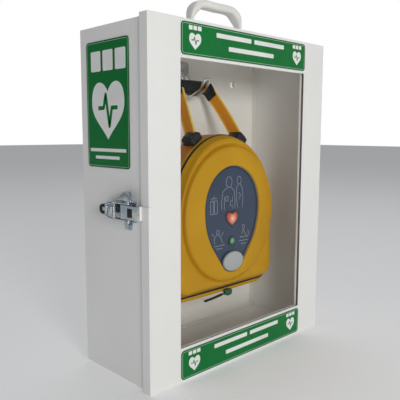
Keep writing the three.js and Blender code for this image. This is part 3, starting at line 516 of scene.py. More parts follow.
def rounded(half_u, half_v, radius, centre=(0, 0), steps=5):
    points = []
    for k, (su, sv) in enumerate(((1, -1), (1, 1), (-1, 1), (-1, -1))):
        for i in range(steps + 1):
            turn = math.radians(-90 + 90 * k + 90 * i / steps)
            u = centre[0] + su * (half_u - radius) + radius * math.cos(turn)
            v = centre[1] + sv * (half_v - radius) + radius * math.sin(turn)
            points.append((u, v))
    return points


def disc(radius, centre=(0, 0), steps=24, stretch=1.0):
    turns = [2 * math.pi * k / steps for k in range(steps)]
    return [(centre[0] + radius * math.cos(t), centre[1] + stretch * radius * math.sin(t)) for t in turns]


def bezier(p, steps):
    """Points on a quadratic or cubic curve, without its last point."""
    points = []
    for k in range(steps):
        row = [np.array(v, float) for v in p]
        while len(row) > 1:
            row = [a + (b - a) * k / steps for a, b in zip(row, row[1:])]
        points.append(tuple(row[0]))
    return points


def heart(half, top, tip, centre=0.0, steps=14):
    """A generic heart outline, counter-clockwise from its tip."""
    wide = tip + 0.64 * (top - tip)
    cleft = top - 0.19 * (top - tip)
    low, high, crest = tip + 0.24 * (top - tip), wide - 0.28 * (top - tip), top + 0.06 * (top - tip)
    right = bezier([(0, tip), (half * 0.42, low), (half, high), (half, wide)], steps)
    right += bezier([(half, wide), (half, crest), (half * 0.25, crest), (0, cleft)], steps)
    left = [(-u, v) for u, v in right[1:]][::-1]
    return [(u + centre, v) for u, v in right + [(0, cleft)] + left]


def ribbon(points, width, place, low, high):
    """A flat stroke of even width along a plane line."""
    p = np.array(points, float)
    tangent = np.gradient(p, axis=0)
    tangent /= np.linalg.norm(tangent, axis=1, keepdims=True)
    side = np.stack([-tangent[:, 1], tangent[:, 0]], 1) * width / 2
    verts, faces = [], []
    for a, b in zip(p - side, p + side):
        verts += [place(*a, low), place(*b, low), place(*b, high), place(*a, high)]
    for i in range(len(p) - 1):
        k = 4 * i
        faces += [(k + j, k + (j + 1) % 4, k + 4 + (j + 1) % 4, k + 4 + j) for j in range(4)]
    end = 4 * (len(p) - 1)
    return verts, faces + [(3, 2, 1, 0), (end, end + 1, end + 2, end + 3)]


def strokes(shape, lines, width, place, low, high, index=0):
    """Straight strokes, each segment its own flat bar with a round spot at every corner."""
    for line in lines:
        for a, b in zip(line, line[1:]):
            shape.add(*ribbon([a, b], width, place, low, high), index)
        for k, corner in enumerate(line[1:-1]):
            shape.add(*plate(disc(width / 2, corner, 10), low, high + 0.004 * (k + 1), place), index)


def smooth_line(points, steps=8):
    """Catmull-Rom points through the given ones."""
    p = [np.array(v, float) for v in points]
    p = [2 * p[0] - p[1], *p, 2 * p[-1] - p[-2]]
    out = []
    for a, b, c, d in zip(p, p[1:], p[2:], p[3:]):
        for k in range(steps):
            t = k / steps
            square, cube = 2 * a - 5 * b + 4 * c - d, 3 * b - a - 3 * c + d
            out.append(0.5 * (2 * b + (c - a) * t + square * t**2 + cube * t**3))
    return [*out, p[-2]]


def sweep(path, section, across):
    """Rings of section points (across, out) along a path. across is the width's direction."""
    path = [np.array(p, float) for p in path]
    rings = []
    for i, p in enumerate(path):
        tangent = path[min(i + 1, len(path) - 1)] - path[max(i - 1, 0)]
        tangent /= np.linalg.norm(tangent)
        wide = np.array(across, float)
        wide -= tangent * wide.dot(tangent)
        wide /= np.linalg.norm(wide)
        out = np.cross(tangent, wide)
        shape = section(i / (len(path) - 1)) if callable(section) else section
        rings.append([tuple(p + u * wide + v * out) for u, v in shape])
    return rings


def wire(name, points, radius, body, slot, material, replaces=()):
    """A round wire along smooth points, as a mesh."""
    curve = bpy.data.curves.new(name, "CURVE")
    curve.dimensions = "3D"
    curve.bevel_depth = radius * MM
    curve.bevel_resolution = 5
    curve.use_fill_caps = True
    spline = curve.splines.new("POLY")
    spline.points.add(len(points) - 1)
    for point, place in zip(spline.points, points):
        point.co = (*(v * MM for v in place), 1)
    holder = bpy.data.objects.new(name + "_line", curve)
    mesh = bpy.data.meshes.new_from_object(holder)
    verts = [tuple(v.co / MM) for v in mesh.vertices]
    faces = [tuple(p.vertices) for p in mesh.polygons]
    bpy.data.objects.remove(holder)
    make(name, verts, faces, body, slot, material, 50, replaces)


def block(low, high, radius, segments=3):
    """A box with rounded edges."""
    b = bmesh.new()
    bmesh.ops.create_cube(b, size=1)
    low, high = Vector(low), Vector(high)
    for v in b.verts:
        v.co = Vector((v.co[i] + 0.5) * (high[i] - low[i]) + low[i] for i in range(3))
    bmesh.ops.bevel(b, geom=b.edges[:], offset=radius, segments=segments, profile=0.5, affect="EDGES")
    b.verts.index_update()
    verts = [tuple(v.co) for v in b.verts]
    faces = [tuple(v.index for v in f.verts) for f in b.faces]
    b.free()
    return verts, faces


def turned(profile, centre, axis, steps=32):
    """A solid of revolution. profile holds (radius, along) pairs; its ends are closed."""
    axis = np.array(axis, float)
    side = np.cross(axis, (0.3, 0.5, 0.8))
    side /= np.linalg.norm(side)
    other = np.cross(axis, side)
    centre = np.array(centre, float)
    turns = [2 * math.pi * k / steps for k in range(steps)]
    rings = [
        [tuple(centre + along * axis + radius * (math.cos(t) * side + math.sin(t) * other)) for t in turns]
        for radius, along in profile
    ]
    return loft(rings)


# ---- CAD nodes that stay ----


def finish_cad_nodes():
    """Materials by slot, and softened edges on the sheet metal and fittings."""
    fine = {"latch", "hinge", "strike", "bail", "hook", "handle"}
    for sub in frame["record"]["subparts"]:
        node = nodes[sub["node"]]
        node.data.materials.clear()
        node.data.materials.append(SLOTS[sub["material_slot"]])
        if "custom_normal" in node.data.attributes:
            node.data.attributes.remove(node.data.attributes["custom_normal"])
        flat = node.name in ("cabinet_wrapper", "back_panel", "door_panel", "window_pane", "hook_plate")
        node.data.polygons.foreach_set("use_smooth", [not flat] * len(node.data.polygons))
        weld = node.modifiers.new("weld", "WELD")
        weld.merge_threshold = 0.000005
        if flat:
            merge = node.modifiers.new("flats", "DECIMATE")
            merge.decimate_type = "DISSOLVE"
            merge.angle_limit = math.radians(0.6)
        bevel = node.modifiers.new("edges", "BEVEL")
        bevel.width = 0.00025 if node.name.split("_")[0] in fine else 0.0005
        bevel.segments = 2
        bevel.limit_method = "ANGLE"
        bevel.angle_limit = math.radians(38)
        bevel.harden_normals = not flat
    # the back panel takes the lighter, warmer copy of the white: painted light
    nodes["back_panel"].data.materials[0] = WHITE_PAINTED_LIGHT


# ---- Carry case ----

(CASE_LEFT, CASE_FRONT, CASE_BOTTOM), (CASE_RIGHT, FRONT_RIM, CASE_TOP) = box("case_front")
REAR_RIM, CASE_REAR = box("case_rear")[0][1], box("case_rear")[1][1]
CX = (CASE_LEFT + CASE_RIGHT) / 2
HALF = (CASE_RIGHT - CASE_LEFT) / 2
ARCH_Z = -31.3
CORNER = 22
OVAL_Z, OVAL_HALF, OVAL_HEIGHT = -25, HALF - 10.2, 98.5
PANEL_Y = box("membrane_panel")[0][1]
CAP_LOW, CAP_HIGH = box("speaker_cap")
CAP_Z = centre_of("speaker_cap")[2]
CAP_HALF, CAP_TALL = (CAP_HIGH[0] - CAP_LOW[0]) / 2, (CAP_HIGH[2] - CAP_LOW[2]) / 2
PANEL_HALF, PANEL_WAIST = 58, 41  # half widths at the panel's widest place and where it turns straight
WIDE_Z, WAIST_Z, PANEL_RISE = -15, -72, 61
ROUND = 288  # points round the case
TURN = np.arange(ROUND) * 2 * np.pi / ROUND


def line(a, b, steps=40):
    return [(a[0] + (b[0] - a[0]) * k / steps, a[1] + (b[1] - a[1]) * k / steps) for k in range(steps)]


def oval(half_u, half_v, middle, turns):
    return [(half_u * math.cos(t), middle + half_v * math.sin(t)) for t in turns]


def arch(low=CASE_BOTTOM, corner=CORNER):
    """The case's outline: an elliptical arch on straight sides, with round lower corners."""
    points = line((-HALF + corner, low), (HALF - corner, low))
    points += bezier([(HALF - corner, low), (HALF, low), (HALF, low + corner)], 24)
    points += line((HALF, low + corner), (HALF, ARCH_Z))
    points += oval(HALF, CASE_TOP - ARCH_Z, ARCH_Z, np.linspace(0, np.pi, 160, endpoint=False))
    points += line((-HALF, ARCH_Z), (-HALF, low + corner))
    return points + bezier([(-HALF, low + corner), (-HALF, low), (-HALF + corner, low)], 24)


def drop(margin=0.0):
    """The front panel's outline: round above, straight towards the cap below."""
    side, waist = PANEL_HALF + margin, PANEL_WAIST + margin
    tip_wide, tip_tall = CAP_HALF + 0.9 + margin, CAP_TALL + 0.9 + margin
    turn = math.radians(27)
    tip = (tip_wide * math.cos(turn), CAP_Z - tip_tall * math.sin(turn))
    right = line(tip, (waist, WAIST_Z), 20)
    right += bezier([(waist, WAIST_Z), (waist + 9, -59.4), (side, -40), (side, WIDE_Z)], 30)
    top = oval(side, PANEL_RISE + margin, WIDE_Z, np.linspace(0, np.pi, 120, endpoint=False))
    left = [(-side, WIDE_Z)] + [(-u, v) for u, v in right[::-1]]
    foot = oval(tip_wide, tip_tall, CAP_Z, np.linspace(np.pi + turn, 2 * np.pi - turn, 40)[1:-1])
    return right + top + left + foot


def radii(outline, centre_z=OVAL_Z):
    """Distance from the case's middle to the outline, at each of ROUND directions."""
    p = np.array(outline, float) - (0, centre_z)
    angle = np.mod(np.arctan2(p[:, 1], p[:, 0]), 2 * np.pi)
    order = np.argsort(angle)
    return np.interp(TURN, angle[order], np.hypot(p[:, 0], p[:, 1])[order], period=2 * np.pi)


def ring(radius, y):
    """One ring round the case at a depth y."""
    y = np.broadcast_to(y, ROUND)
    return list(zip(CX + radius * np.cos(TURN), y, OVAL_Z + radius * np.sin(TURN)))


PANEL_EDGE = radii(drop())
OVAL = radii(oval(OVAL_HALF, OVAL_HEIGHT, OVAL_Z, np.linspace(0, 2 * np.pi, 720)))
OUTLINE = radii(arch())
RIM_OUTLINE = radii(arch(CASE_BOTTOM + 6.2, 17)) - 0.8
FRONT_OUTLINE = radii(arch(CASE_BOTTOM + 9.0, 20)) - 3.6
# 1 along the case's straight bottom, fading out round its lower corners
BELOW = np.clip((-np.sin(TURN) * OUTLINE - 88) / 28, 0, 1) ** 2


def case_front():
    """Front shell: a domed oval in a groove, a rounded shoulder, and a wall that flares to the zip."""
    room = np.minimum(1.0, (FRONT_OUTLINE - OVAL) / 8)
    lip = [(1.4, -0.25), (0.4, -0.5), (0.0, -1.4), (0.25, -2.5), (1.1, -3.5), (2.4, -4.1), (4.2, -4.4)]
    rings = [ring(PANEL_EDGE + d, PANEL_Y + dy) for d, dy in lip]
    face = PANEL_Y - 4.4
    for f in (0.1, 0.22, 0.36, 0.5, 0.64, 0.77, 0.88, 0.96):
        rings.append(ring((PANEL_EDGE + 4.2) * (1 - f) + (OVAL - 1.2) * f, face + 3.4 * f**2.2))
    base = CASE_FRONT + 9.5
    groove = [(-0.3, -6.0), (0.6, -4.8), (1.2, -3.2), (1.6, -1.2), (2.2, 0.5), (2.9, 0.9), (3.6, 0.3)]
    groove += [(4.4, -0.8), (5.2, -1.3)]
    rings += [ring(OVAL + d * room, base + dy) for d, dy in groove]
    crest = OVAL + 5.4 * room
    wide = np.clip(FRONT_OUTLINE - crest, 1.0, 8.0)
    rings += [ring(np.maximum(crest + 0.3, FRONT_OUTLINE - wide), base - 1.1)]
    for t in np.radians((18, 36, 54, 72, 90)):
        rings.append(ring(FRONT_OUTLINE - wide * (1 - math.sin(t)), base - 1.0 + 6.5 * (1 - math.cos(t))))
    for f, y in ((0.3, -95.5), (0.7, -93.0), (0.95, -91.2)):
        rings.append(ring(FRONT_OUTLINE * (1 - f) + RIM_OUTLINE * f, y))
    rings += [ring(RIM_OUTLINE - 0.1, FRONT_RIM - 0.5), ring(RIM_OUTLINE - 0.7, FRONT_RIM)]
    # back along the inside of the shell
    rings += [ring(RIM_OUTLINE - 2.4, FRONT_RIM), ring(RIM_OUTLINE - 3.0, -94)]
    rings += [ring(FRONT_OUTLINE - 3.2, -98.0)]
    rings += [ring(OVAL + d, y) for d, y in ((1.2, -100.4), (-2.5, -104.0), (-6, -107.6))]
    rings.append(ring(0.5 * (PANEL_EDGE + OVAL), -110.4))
    rings += [ring(PANEL_EDGE + 7, -111.0), ring(PANEL_EDGE + 3.6, -110.6)]
    mesh = loft(rings, loop=True)
    make("case_front_skin", *mesh, "defibrillator", "yellow_case", YELLOW, 60, ["case_front"])


def case_rear():
    """Rear shell, with a lip that stands proud of the zip along the bottom, and painted shade on its upper
    side wall.
    """
    lip = 0.8 + 2.2 * BELOW
    rim = OUTLINE - 0.2
    inner = [ring(OUTLINE * 0.3, -50.4)]
    inner += [ring(OUTLINE - d, y) for d, y in ((14, -50.5), (9, -51.2), (5, -53), (3, -57), (2.6, -68))]
    inner.append(ring(RIM_OUTLINE - 2.5, REAR_RIM + 0.3))
    outer = [ring(RIM_OUTLINE - 0.6, REAR_RIM + 0.05), ring(rim, REAR_RIM + 0.05)]
    for share, dy in ((0.8, 0.2), (1.0, 0.8), (1.02, 2.0), (0.8, 3.0), (0.3, 3.7)):
        outer.append(ring(OUTLINE + lip * share, REAR_RIM + dy))
    outer += [ring(OUTLINE + 0.05, REAR_RIM + 5.2), ring(OUTLINE, -72), ring(OUTLINE, -60)]
    edge = ((0.5, -54.5), (1.8, -51.4), (4.2, -49.3), (7.5, -48.3), (12, CASE_REAR))
    outer += [ring(OUTLINE - d, y) for d, y in edge]
    outer += [ring(OUTLINE * 0.6, CASE_REAR), ring(OUTLINE * 0.3, CASE_REAR)]
    # outside faces of the side wall above the bottom take the orange-brown copy: painted shade
    verts, faces = loft(inner + outer)
    index = []
    for face in faces:
        y, z = (sum(verts[i][a] for i in face) / len(face) for a in (1, 2))
        outside = face[0] // ROUND >= len(inner)
        index.append(int(REAR_RIM + 4.5 < y < -56 and z > CASE_BOTTOM + 14 and outside))
    skins = [YELLOW, SIDE_PAINTED_SHADE]
    make("case_rear_skin", verts, faces, "defibrillator", "yellow_case", skins, 60, ["case_rear"], index)


def case_zip():
    """Zip tape all round, with its row of interlocked teeth."""
    front, rear = FRONT_RIM + 0.2, REAR_RIM - 0.2
    tape = RIM_OUTLINE + 3.0 * BELOW
    rings = [ring(tape - 2.0, front), ring(tape + 0.1, front), ring(tape + 0.35, front + 0.7)]
    rings += [ring(tape + 0.35, rear - 0.7), ring(tape + 0.1, rear), ring(tape - 2.0, rear)]
    shape = Shape().add(*loft(rings, loop=True))
    path = np.array(ring(tape + 0.55, (front + rear) / 2))
    length = np.concatenate([[0], np.cumsum(np.linalg.norm(np.roll(path, -1, 0) - path, axis=1))])
    closed = np.vstack([path, path[:1]])
    teeth = int(length[-1] / 2.0)
    for k in range(teeth):
        at = length[-1] * k / teeth
        spot = np.array([np.interp(at, length, closed[:, i]) for i in range(3)])
        ahead = np.array([np.interp((at + 1) % length[-1], length, closed[:, i]) for i in range(3)])
        along = (ahead - spot) / np.linalg.norm(ahead - spot)
        out = np.array([along[2], 0, -along[0]])
        spot[1] += 0.45 if k % 2 else -0.45
        corners = [
            tuple(spot + sx * 0.7 * along + sy * 0.8 * np.array([0, 1, 0]) + sz * 0.4 * out)
            for sz in (-1, 1)
            for sx, sy in ((-1, -1), (1, -1), (1, 1), (-1, 1))
        ]
        shape.add(*loft([corners[:4], corners[4:]]), 1)
    skins = [BLACK_WEBBING, BLACK]
    shape.make("case_zip_chain", "defibrillator", "black_plastic", skins, replaces=["case_zip"])


def case_pouch():
    """Padded pouch on the case's back, crowned towards the wall."""
    (x0, y0, z0), (x1, y1, z1) = box("case_pouch")
    middle, half_x, half_z = ((x0 + x1) / 2, (z0 + z1) / 2), (x1 - x0) / 2, (z1 - z0) / 2
    place = sheet_place((middle[0], 0, middle[1]), (1, 0, 0), (0, 0, 1), (0, 1, 0))
    # depth, inset of the outline, and how far its corners draw in
    sections = [(y0, 9, 0), (y0 + 0.8, 3, 0), (y0 + 4, 1.2, 1), (y0 + 14, 0.4, 1.5), (y0 + 28, 1.0, 1.5)]
    sections += [(y1 - 10, 3, 2), (y1 - 5, 6, 3), (y1 - 2.0, 12, 4), (y1 - 0.6, 24, 4), (y1 - 0.1, 42, 4)]
    rings = []
    for y, inset, pinch in sections:
        outline = np.array(rounded(half_x - inset, half_z - inset, 16, steps=7))
        share = np.abs(outline) / (half_x, half_z)
        outline *= 1 - pinch / half_x * (share.min(1, keepdims=True)) ** 2 * 0.6
        rings.append([place(u, v, y) for u, v in outline])
    mesh = loft(rings)
    piece = make("case_pouch_padding", *mesh, "defibrillator", "yellow_case", YELLOW, 60, ["case_pouch"])
    soften(piece, 2)


# ---- Strap, grip, clips and hook ----

GRIP_LOW, GRIP_HIGH = box("strap_grip")
GRIP_Y, GRIP_Z = centre_of("strap_grip")[1:]
GRIP_R = (GRIP_HIGH[2] - GRIP_LOW[2]) / 2
SIDES = {-1: "left", 1: "right"}


def strap_line(side):
    """Middle of one strap leg from the grip's end to inside its clip."""
    strap_low, strap_high = box(f"strap_{SIDES[side]}")
    top_x = (strap_low[0] if side > 0 else strap_high[0]) + side * 1.8
    top = np.array([top_x, GRIP_Y, GRIP_Z])
    return top, np.array(centre_of(f"strap_clip_{SIDES[side]}"))


def strap_path(side, start, end, steps):
    top, bottom = strap_line(side)
    points = []
    for k in range(steps + 1):
        t = start + (end - start) * k / steps
        bow = math.sin(math.pi * min(max(t, 0), 1))
        points.append(top + (bottom - top) * t + np.array([side * 1.6, -1.2, 0]) * bow)
    return points


def strap_across(side):
    top, bottom = strap_line(side)
    down = bottom - top
    return np.array([0, -down[2], down[1]]) / np.hypot(down[1], down[2])


def strap(side):
    """Orange webbing with rolled edges and stitches in a paler yellow; on the rolled edges that yellow is a
    painted highlight.
    """
    name = SIDES[side]
    path = strap_path(side, 0.11, 0.97, 28)
    across = strap_across(side)
    shape = Shape()
    shape.add(*loft(sweep(path, rounded(8.9, 1.05, 0.8, steps=3), across)), 0)
    # rolled edges in the paler yellow copy: painted highlight
    for edge in (-1, 1):
        roll = [(edge * 9.2 + u, v) for u, v in rounded(1.5, 1.6, 1.3, steps=4)]
        shape.add(*loft(sweep(path, roll, across)), 1)
    for k in (-1, 1):  # two rows of stitches
        for i in range(1, 27):
            a, b = path[i] * 0.65 + path[i + 1] * 0.35, path[i] * 0.25 + path[i + 1] * 0.75
            thread = [(k * 6.6 + u, v) for u, v in rounded(0.35, 1.3, 0.3, steps=1)]
            shape.add(*loft(sweep([a, b], thread, across)), 1)
    skins = [ORANGE, PALE_THREAD_AND_HIGHLIGHT]
    shape.make(f"strap_{name}_webbing", "defibrillator", "orange_webbing", skins, replaces=[f"strap_{name}"])


def strap_tab(side):
    """Black tab that joins the grip's end to the webbing."""
    top, bottom = strap_line(side)
    down = (bottom - top) / np.linalg.norm(bottom - top)
    across = strap_across(side)
    out = np.array([side * 1.0, 0, 0])
    out -= down * out.dot(down)
    out /= np.linalg.norm(out)
    place = sheet_place(top, across, -down, out)
    half = 10.2
    outline = oval(half, half, 0, np.linspace(0, np.pi, 17))
    outline += [(-half, -16), (1.4 - half, -18), (half - 1.4, -18), (half, -16)]
    shape = Shape().add(*plate(outline, -1.6, 2.3, place, 0.9))
    for row in (-9, -15):
        shape.add(*plate(rounded(7.6, 0.5, 0.4, (0, row), 2), 2.2, 2.75, place, 0.2), 0)
    shape.add(*plate(disc(5.2, (0, 0), 24), 2.2, 3.0, place, 0.5), 1)
    shape.make(f"strap_tab_{SIDES[side]}", "defibrillator", "black_plastic", [BLACK_WEBBING, BLACK])


def strap_clip(side):
    """Black moulded clip that holds the webbing on the case's rim."""
    node = f"strap_clip_{SIDES[side]}"
    turn = Matrix.Translation(centre_of(node)) @ Matrix.Rotation(math.radians(34.4) * side, 4, "Y")
    shape = Shape()

    def add(verts, faces, index=0):
        shape.add([tuple(turn @ Vector(v)) for v in verts], faces, index)

    add(*block((-10.8, -11.6, -7.2), (10.8, 11.6, 5.2), 3.4, 4))
    add(*block((-7.6, -9.0, 3.0), (7.6, 9.0, 7.4), 2.0, 3))
    for x in (-7.0, -3.5, 0.0, 3.5, 7.0):
        add(*block((x - 0.8, -12.2, -4.4), (x + 0.8, -10.4, 2.6), 0.5, 2))
    for x in (-11.6, 9.8):
        add(*block((x, -6.5, -3.5), (x + 1.8, 6.5, 1.8), 0.7, 2))
    shape.make(f"{node}_body", "defibrillator", "black_plastic", BLACK, replaces=[node])


def grip():
    """Padded grip: neoprene sewn round the strap, with a seam along it and a band at each end."""
    length = GRIP_HIGH[0] - GRIP_LOW[0]
    rings = []
    left_half = [0, 0.006, 0.02, 0.045, 0.075, 0.09, 0.12, 0.2, 0.35, 0.5]
    right_half = [0.65, 0.8, 0.88, 0.91, 0.925, 0.955, 0.98, 0.994, 1]
    stations = left_half + right_half  # shares of the length
    sizes = [0.55, 0.78, 0.92, 0.97, 0.94, 0.90, 0.95, 0.985, 1.0]  # shares of the radius
    sizes += [1.0, *sizes[::-1]]
    for s, r in zip(stations, sizes):
        x = GRIP_LOW[0] + length * s
        row = []
        for t in np.linspace(0, 2 * np.pi, 40, endpoint=False):
            dent = 1 - 0.05 * math.exp(-(((t - 1.5 * math.pi) / 0.09) ** 2))
            radius = GRIP_R * r * dent
            row.append((x, GRIP_Y + radius * math.cos(t), GRIP_Z + radius * math.sin(t)))
        rings.append(row)
    piece = make("strap_grip_padding", *loft(rings), "hanger", "black_rubber", NEOPRENE, 60, ["strap_grip"])
    soften(piece)


def hook():
    """One chrome wire bent double under the grip, up to a narrow tip."""
    low, high = box("hook_wire")
    radius = 2.5
    middle, reach = (low[0] + high[0]) / 2, low[1] + radius
    spread = (high[0] - low[0]) / 2 - radius - 0.8
    start_y, start_z = high[1] + 2.0, high[2] - radius
    around = GRIP_R + radius + 0.3
    leg = [(start_y, start_z), (start_y - 3.0, start_z), (GRIP_Y + around + 2.0, GRIP_Z + 15)]
    bend = np.radians(np.arange(10, -131, -14))
    leg += [(GRIP_Y + around * math.cos(t), GRIP_Z + around * math.sin(t)) for t in bend]
    leg += [(GRIP_Y - 20.5, GRIP_Z - 3.6), (GRIP_Y - 27.0, GRIP_Z + 3.2), (reach + 0.7, GRIP_Z + 7.6)]
    left = [(middle - spread, y, z) for y, z in leg]
    right = [(middle + spread, y, z) for y, z in leg[::-1]]
    crown = [(-3.6, 0, 9.4), (0, -0.2, 9.9), (3.6, 0, 9.4)]
    tip = [(middle + x, reach + y, GRIP_Z + z) for x, y, z in crown]
    points = smooth_line(left + tip + right, 6)
    wire("hook_wire_bent", points, radius, "cabinet", "chrome_wire", CHROME, ["hook_wire"])


# ---- Carry handle ----


def carry_handle():
    """One moulded bar: flat feet, slanted legs and a thicker arch between them."""
    (_, y0, z0), (x1, y1, top) = box("carry_handle")
    y = (y0 + y1) / 2
    low_leg = [(0, 1.5), (6, 1.5), (12, 1.9), (16.5, 6), (18.5, 16), (20.5, 26), (25, 35)]
    leg = [(x1 - d, z0 + rise) for d, rise in low_leg]
    leg += [(x1 - d, top - drop_by) for d, drop_by in ((33, 11.0), (43, 8.4), (56, 8.2))]
    half = leg + [(0.0, top - 8.6)]
    path = [(-x, y, z) for x, z in half] + [(x, y, z) for x, z in half[-2::-1]]
    path = smooth_line(path, 5)

    def section(t):
        inner = 1 - abs(2 * t - 1)  # 0 at the feet, 1 in the middle
        rise = min(1.0, max(0.0, (inner - 0.42) / 0.22))
        rise = rise * rise * (3 - 2 * rise)
        foot = max(0.0, 1 - inner / 0.16)
        wide = 5.6 + 4.4 * rise + 5.0 * foot
        thick = 1.5 + 0.7 * min(1.0, inner / 0.2) + 3.3 * rise
        return rounded(wide, thick, min(thick * 0.92, wide) * 0.98, steps=5)

    mesh = loft(sweep(path, section, (0, 1, 0)))
    soften(make("carry_handle_moulding", *mesh, "cabinet", "white_plastic", HANDLE, 60, ["carry_handle"]))


# ---- Front panel ----

FACE = sheet_place((CX, PANEL_Y, 0), (1, 0, 0), (0, 0, 1), (0, -1, 0))


def panel_rim():
    """Dark border of the membrane panel, with a thin pale trim line round it."""

    def outline(margin):
        radius = radii(drop(margin))
        return list(zip(radius * np.cos(TURN), OVAL_Z + radius * np.sin(TURN)))

    shape = Shape().add(*hoop(outline(-0.5), outline(-3.6), -0.1, 0.35, FACE), 0)
    shape.add(*hoop(outline(0.9), outline(-0.35), -0.1, 0.2, FACE), 1)
    shape.make("panel_rim", "defibrillator", "slate_panel", [NAVY, CAP])


def pictograms():
    """Generic line figures: pads on a chest, a pad pouch, pressing on a chest, standing clear."""
    low, high, thin = -0.05, 0.14, 0.95
    shape = Shape()

    def loop(points):
        for a, b in zip(points, points[1:] + points[:1]):
            shape.add(*ribbon([a, b], thin, FACE, low, high))

    # a standing figure with two pads, and a helper beside it
    loop(disc(6.2, (-7, 22.5), 18, 1.25))
    loop(rounded(2.6, 3.4, 1.0, (-11.5, -1.5), 2))
    loop(rounded(2.6, 3.4, 1.0, (-1.5, -9.0), 2))
    lines = [[(-11, 14.5), (-20, 9.5), (-23, -8), (-22, -17)]]
    lines += [[(-3, 14.5), (3.5, 10.0), (6.0, -4), (5.5, -17)]]
    lines += [[(-16.5, 2), (-17, -18)], [(0.8, 1), (1.2, -17)]]
    loop(disc(4.6, (14.5, 24.0), 16, 1.25))
    lines += [[(12.5, 17.6), (9, 12.5), (9.5, -3), (12, -17)]]
    lines += [[(17, 17.6), (22, 12), (23.5, -3), (22.5, -17)], [(14, 6), (18.5, 2), (14.5, -4)]]
    # the pad pouch with its tear strip
    loop(rounded(3.0, 9.5, 1.2, (-42, -12), 2))
    loop(rounded(3.0, 9.5, 1.2, (-34.0, -12), 2))
    lines += [[(-44.5, 0.6), (-31.5, 0.6)], [(-38, 0.6), (-38, 4.6)]]
    # pressing on a lying figure's chest
    loop(disc(3.0, (-30, -48.5), 14))
    lines += [[(-31.5, -52), (-37.5, -57.5), (-36, -65)], [(-28.5, -51.5), (-24.0, -57), (-20, -64.5)]]
    lines += [[(-42, -49.5), (-37, -54)], [(-18.0, -49.5), (-23, -55)]]
    lines += [[(-38, -68.5), (-16, -68.5)], [(-33, -73), (-20, -73)]]
    # standing clear
    loop(disc(3.0, (25.5, -46.5), 14))
    loop([(25.5, -51), (18.5, -62), (33, -62)])
    lines += [[(35, -52), (38, -58), (34, -64)], [(15.5, -67.5), (36, -67.5)], [(20, -72), (31, -72)]]
    strokes(shape, lines, thin, FACE, low, high)
    shape.make("panel_pictograms", "defibrillator", "slate_panel", LINE)


def cap():
    """Pale oval cap with a shallow dished face."""
    rear, front = 0.3, -CAP_LOW[1] + PANEL_Y
    dish = [(0.99, 1.6), (0.965, 0.7), (0.92, 0.15), (0.86, 0), (0.78, 0.12), (0.7, 0.5), (0.5, 0.75)]
    dish += [(0.25, 0.85), (0.06, 0.88)]
    levels = [(1.0, rear), (1.0, rear + 1.6)] + [(share, front - depth) for share, depth in dish]
    turns = np.linspace(0, 2 * np.pi, 72, endpoint=False)
    rings = [[FACE(u, v, w) for u, v in oval(CAP_HALF * s, CAP_TALL * s, CAP_Z, turns)] for s, w in levels]
    soften(make("speaker_cap_moulding", *loft(rings), "defibrillator", "pale_cap", CAP, 60, ["speaker_cap"]))


def controls():
    """The round on button, the heart button and their bezels."""
    low, high = box("on_button")
    on_z, on_r, front = (low[2] + high[2]) / 2, (high[2] - low[2]) / 2, PANEL_Y - low[1]
    rear = PANEL_Y - high[1]
    profile = [(on_r, rear), (on_r, front - 0.9), (on_r - 0.25, front - 0.35), (on_r - 0.9, front)]
    profile += [(on_r - 1.8, front - 0.1), (on_r - 2.4, front - 0.4)]
    profile += [(on_r * 0.35, front - 0.55), (0.3, front - 0.6)]
    # where the painted highlight and glow sit on the on button
    glow = (CX * MM, low[1] * MM, (on_z + 1) * MM)
    green = lens("green_button_lens", (0.012, 0.12, 0.06), (0.22, 0.48, 0.30), glow, 0.0062, 0.06)
    verts, faces = turned(profile, (CX, PANEL_Y, on_z), (0, -1, 0), 40)
    make("on_button_dome", verts, faces, "on_button", "green_plastic", green, 60, ["on_button"])
    outer, inner = (disc(on_r + margin, (0, on_z), 40) for margin in (1.7, 0.45))
    bezel = Shape().add(*hoop(outer, inner, -0.1, 0.7, FACE))
    bezel.make("on_button_bezel", "defibrillator", "slate_panel", NAVY)

    low, high = box("shock_button")
    half, top, tip = (high[0] - low[0]) / 2, high[2], low[2]
    outline = heart(half, top, tip, 0, 16)
    rings = [[FACE(u, v, PANEL_Y - high[1]) for u, v in outline]]
    for inset, drop_by in ((0, 1.1), (0.3, 0.45), (0.9, 0.08), (1.8, 0), (3.2, 0.12), (5.0, 0.4)):
        rings.append([FACE(u, v, front - drop_by) for u, v in shrink(outline, inset)])
    # where the painted highlight and glow sit on the heart button
    spot = ((CX + 0.5) * MM, low[1] * MM, (tip + 0.5 * (top - tip)) * MM)
    red = lens("red_button_lens", (0.42, 0.055, 0.018), (0.95, 0.50, 0.32), spot, 0.0105, 0.12)
    make("shock_button_lens", *loft(rings), "shock_button", "red_button", red, 50, ["shock_button"])
    bezel = Shape().add(*hoop(shrink(outline, -1.9), shrink(outline, -0.5), -0.1, 0.7, FACE))
    bezel.make("shock_button_bezel", "defibrillator", "slate_panel", NAVY)


# ---- Zip slider ----


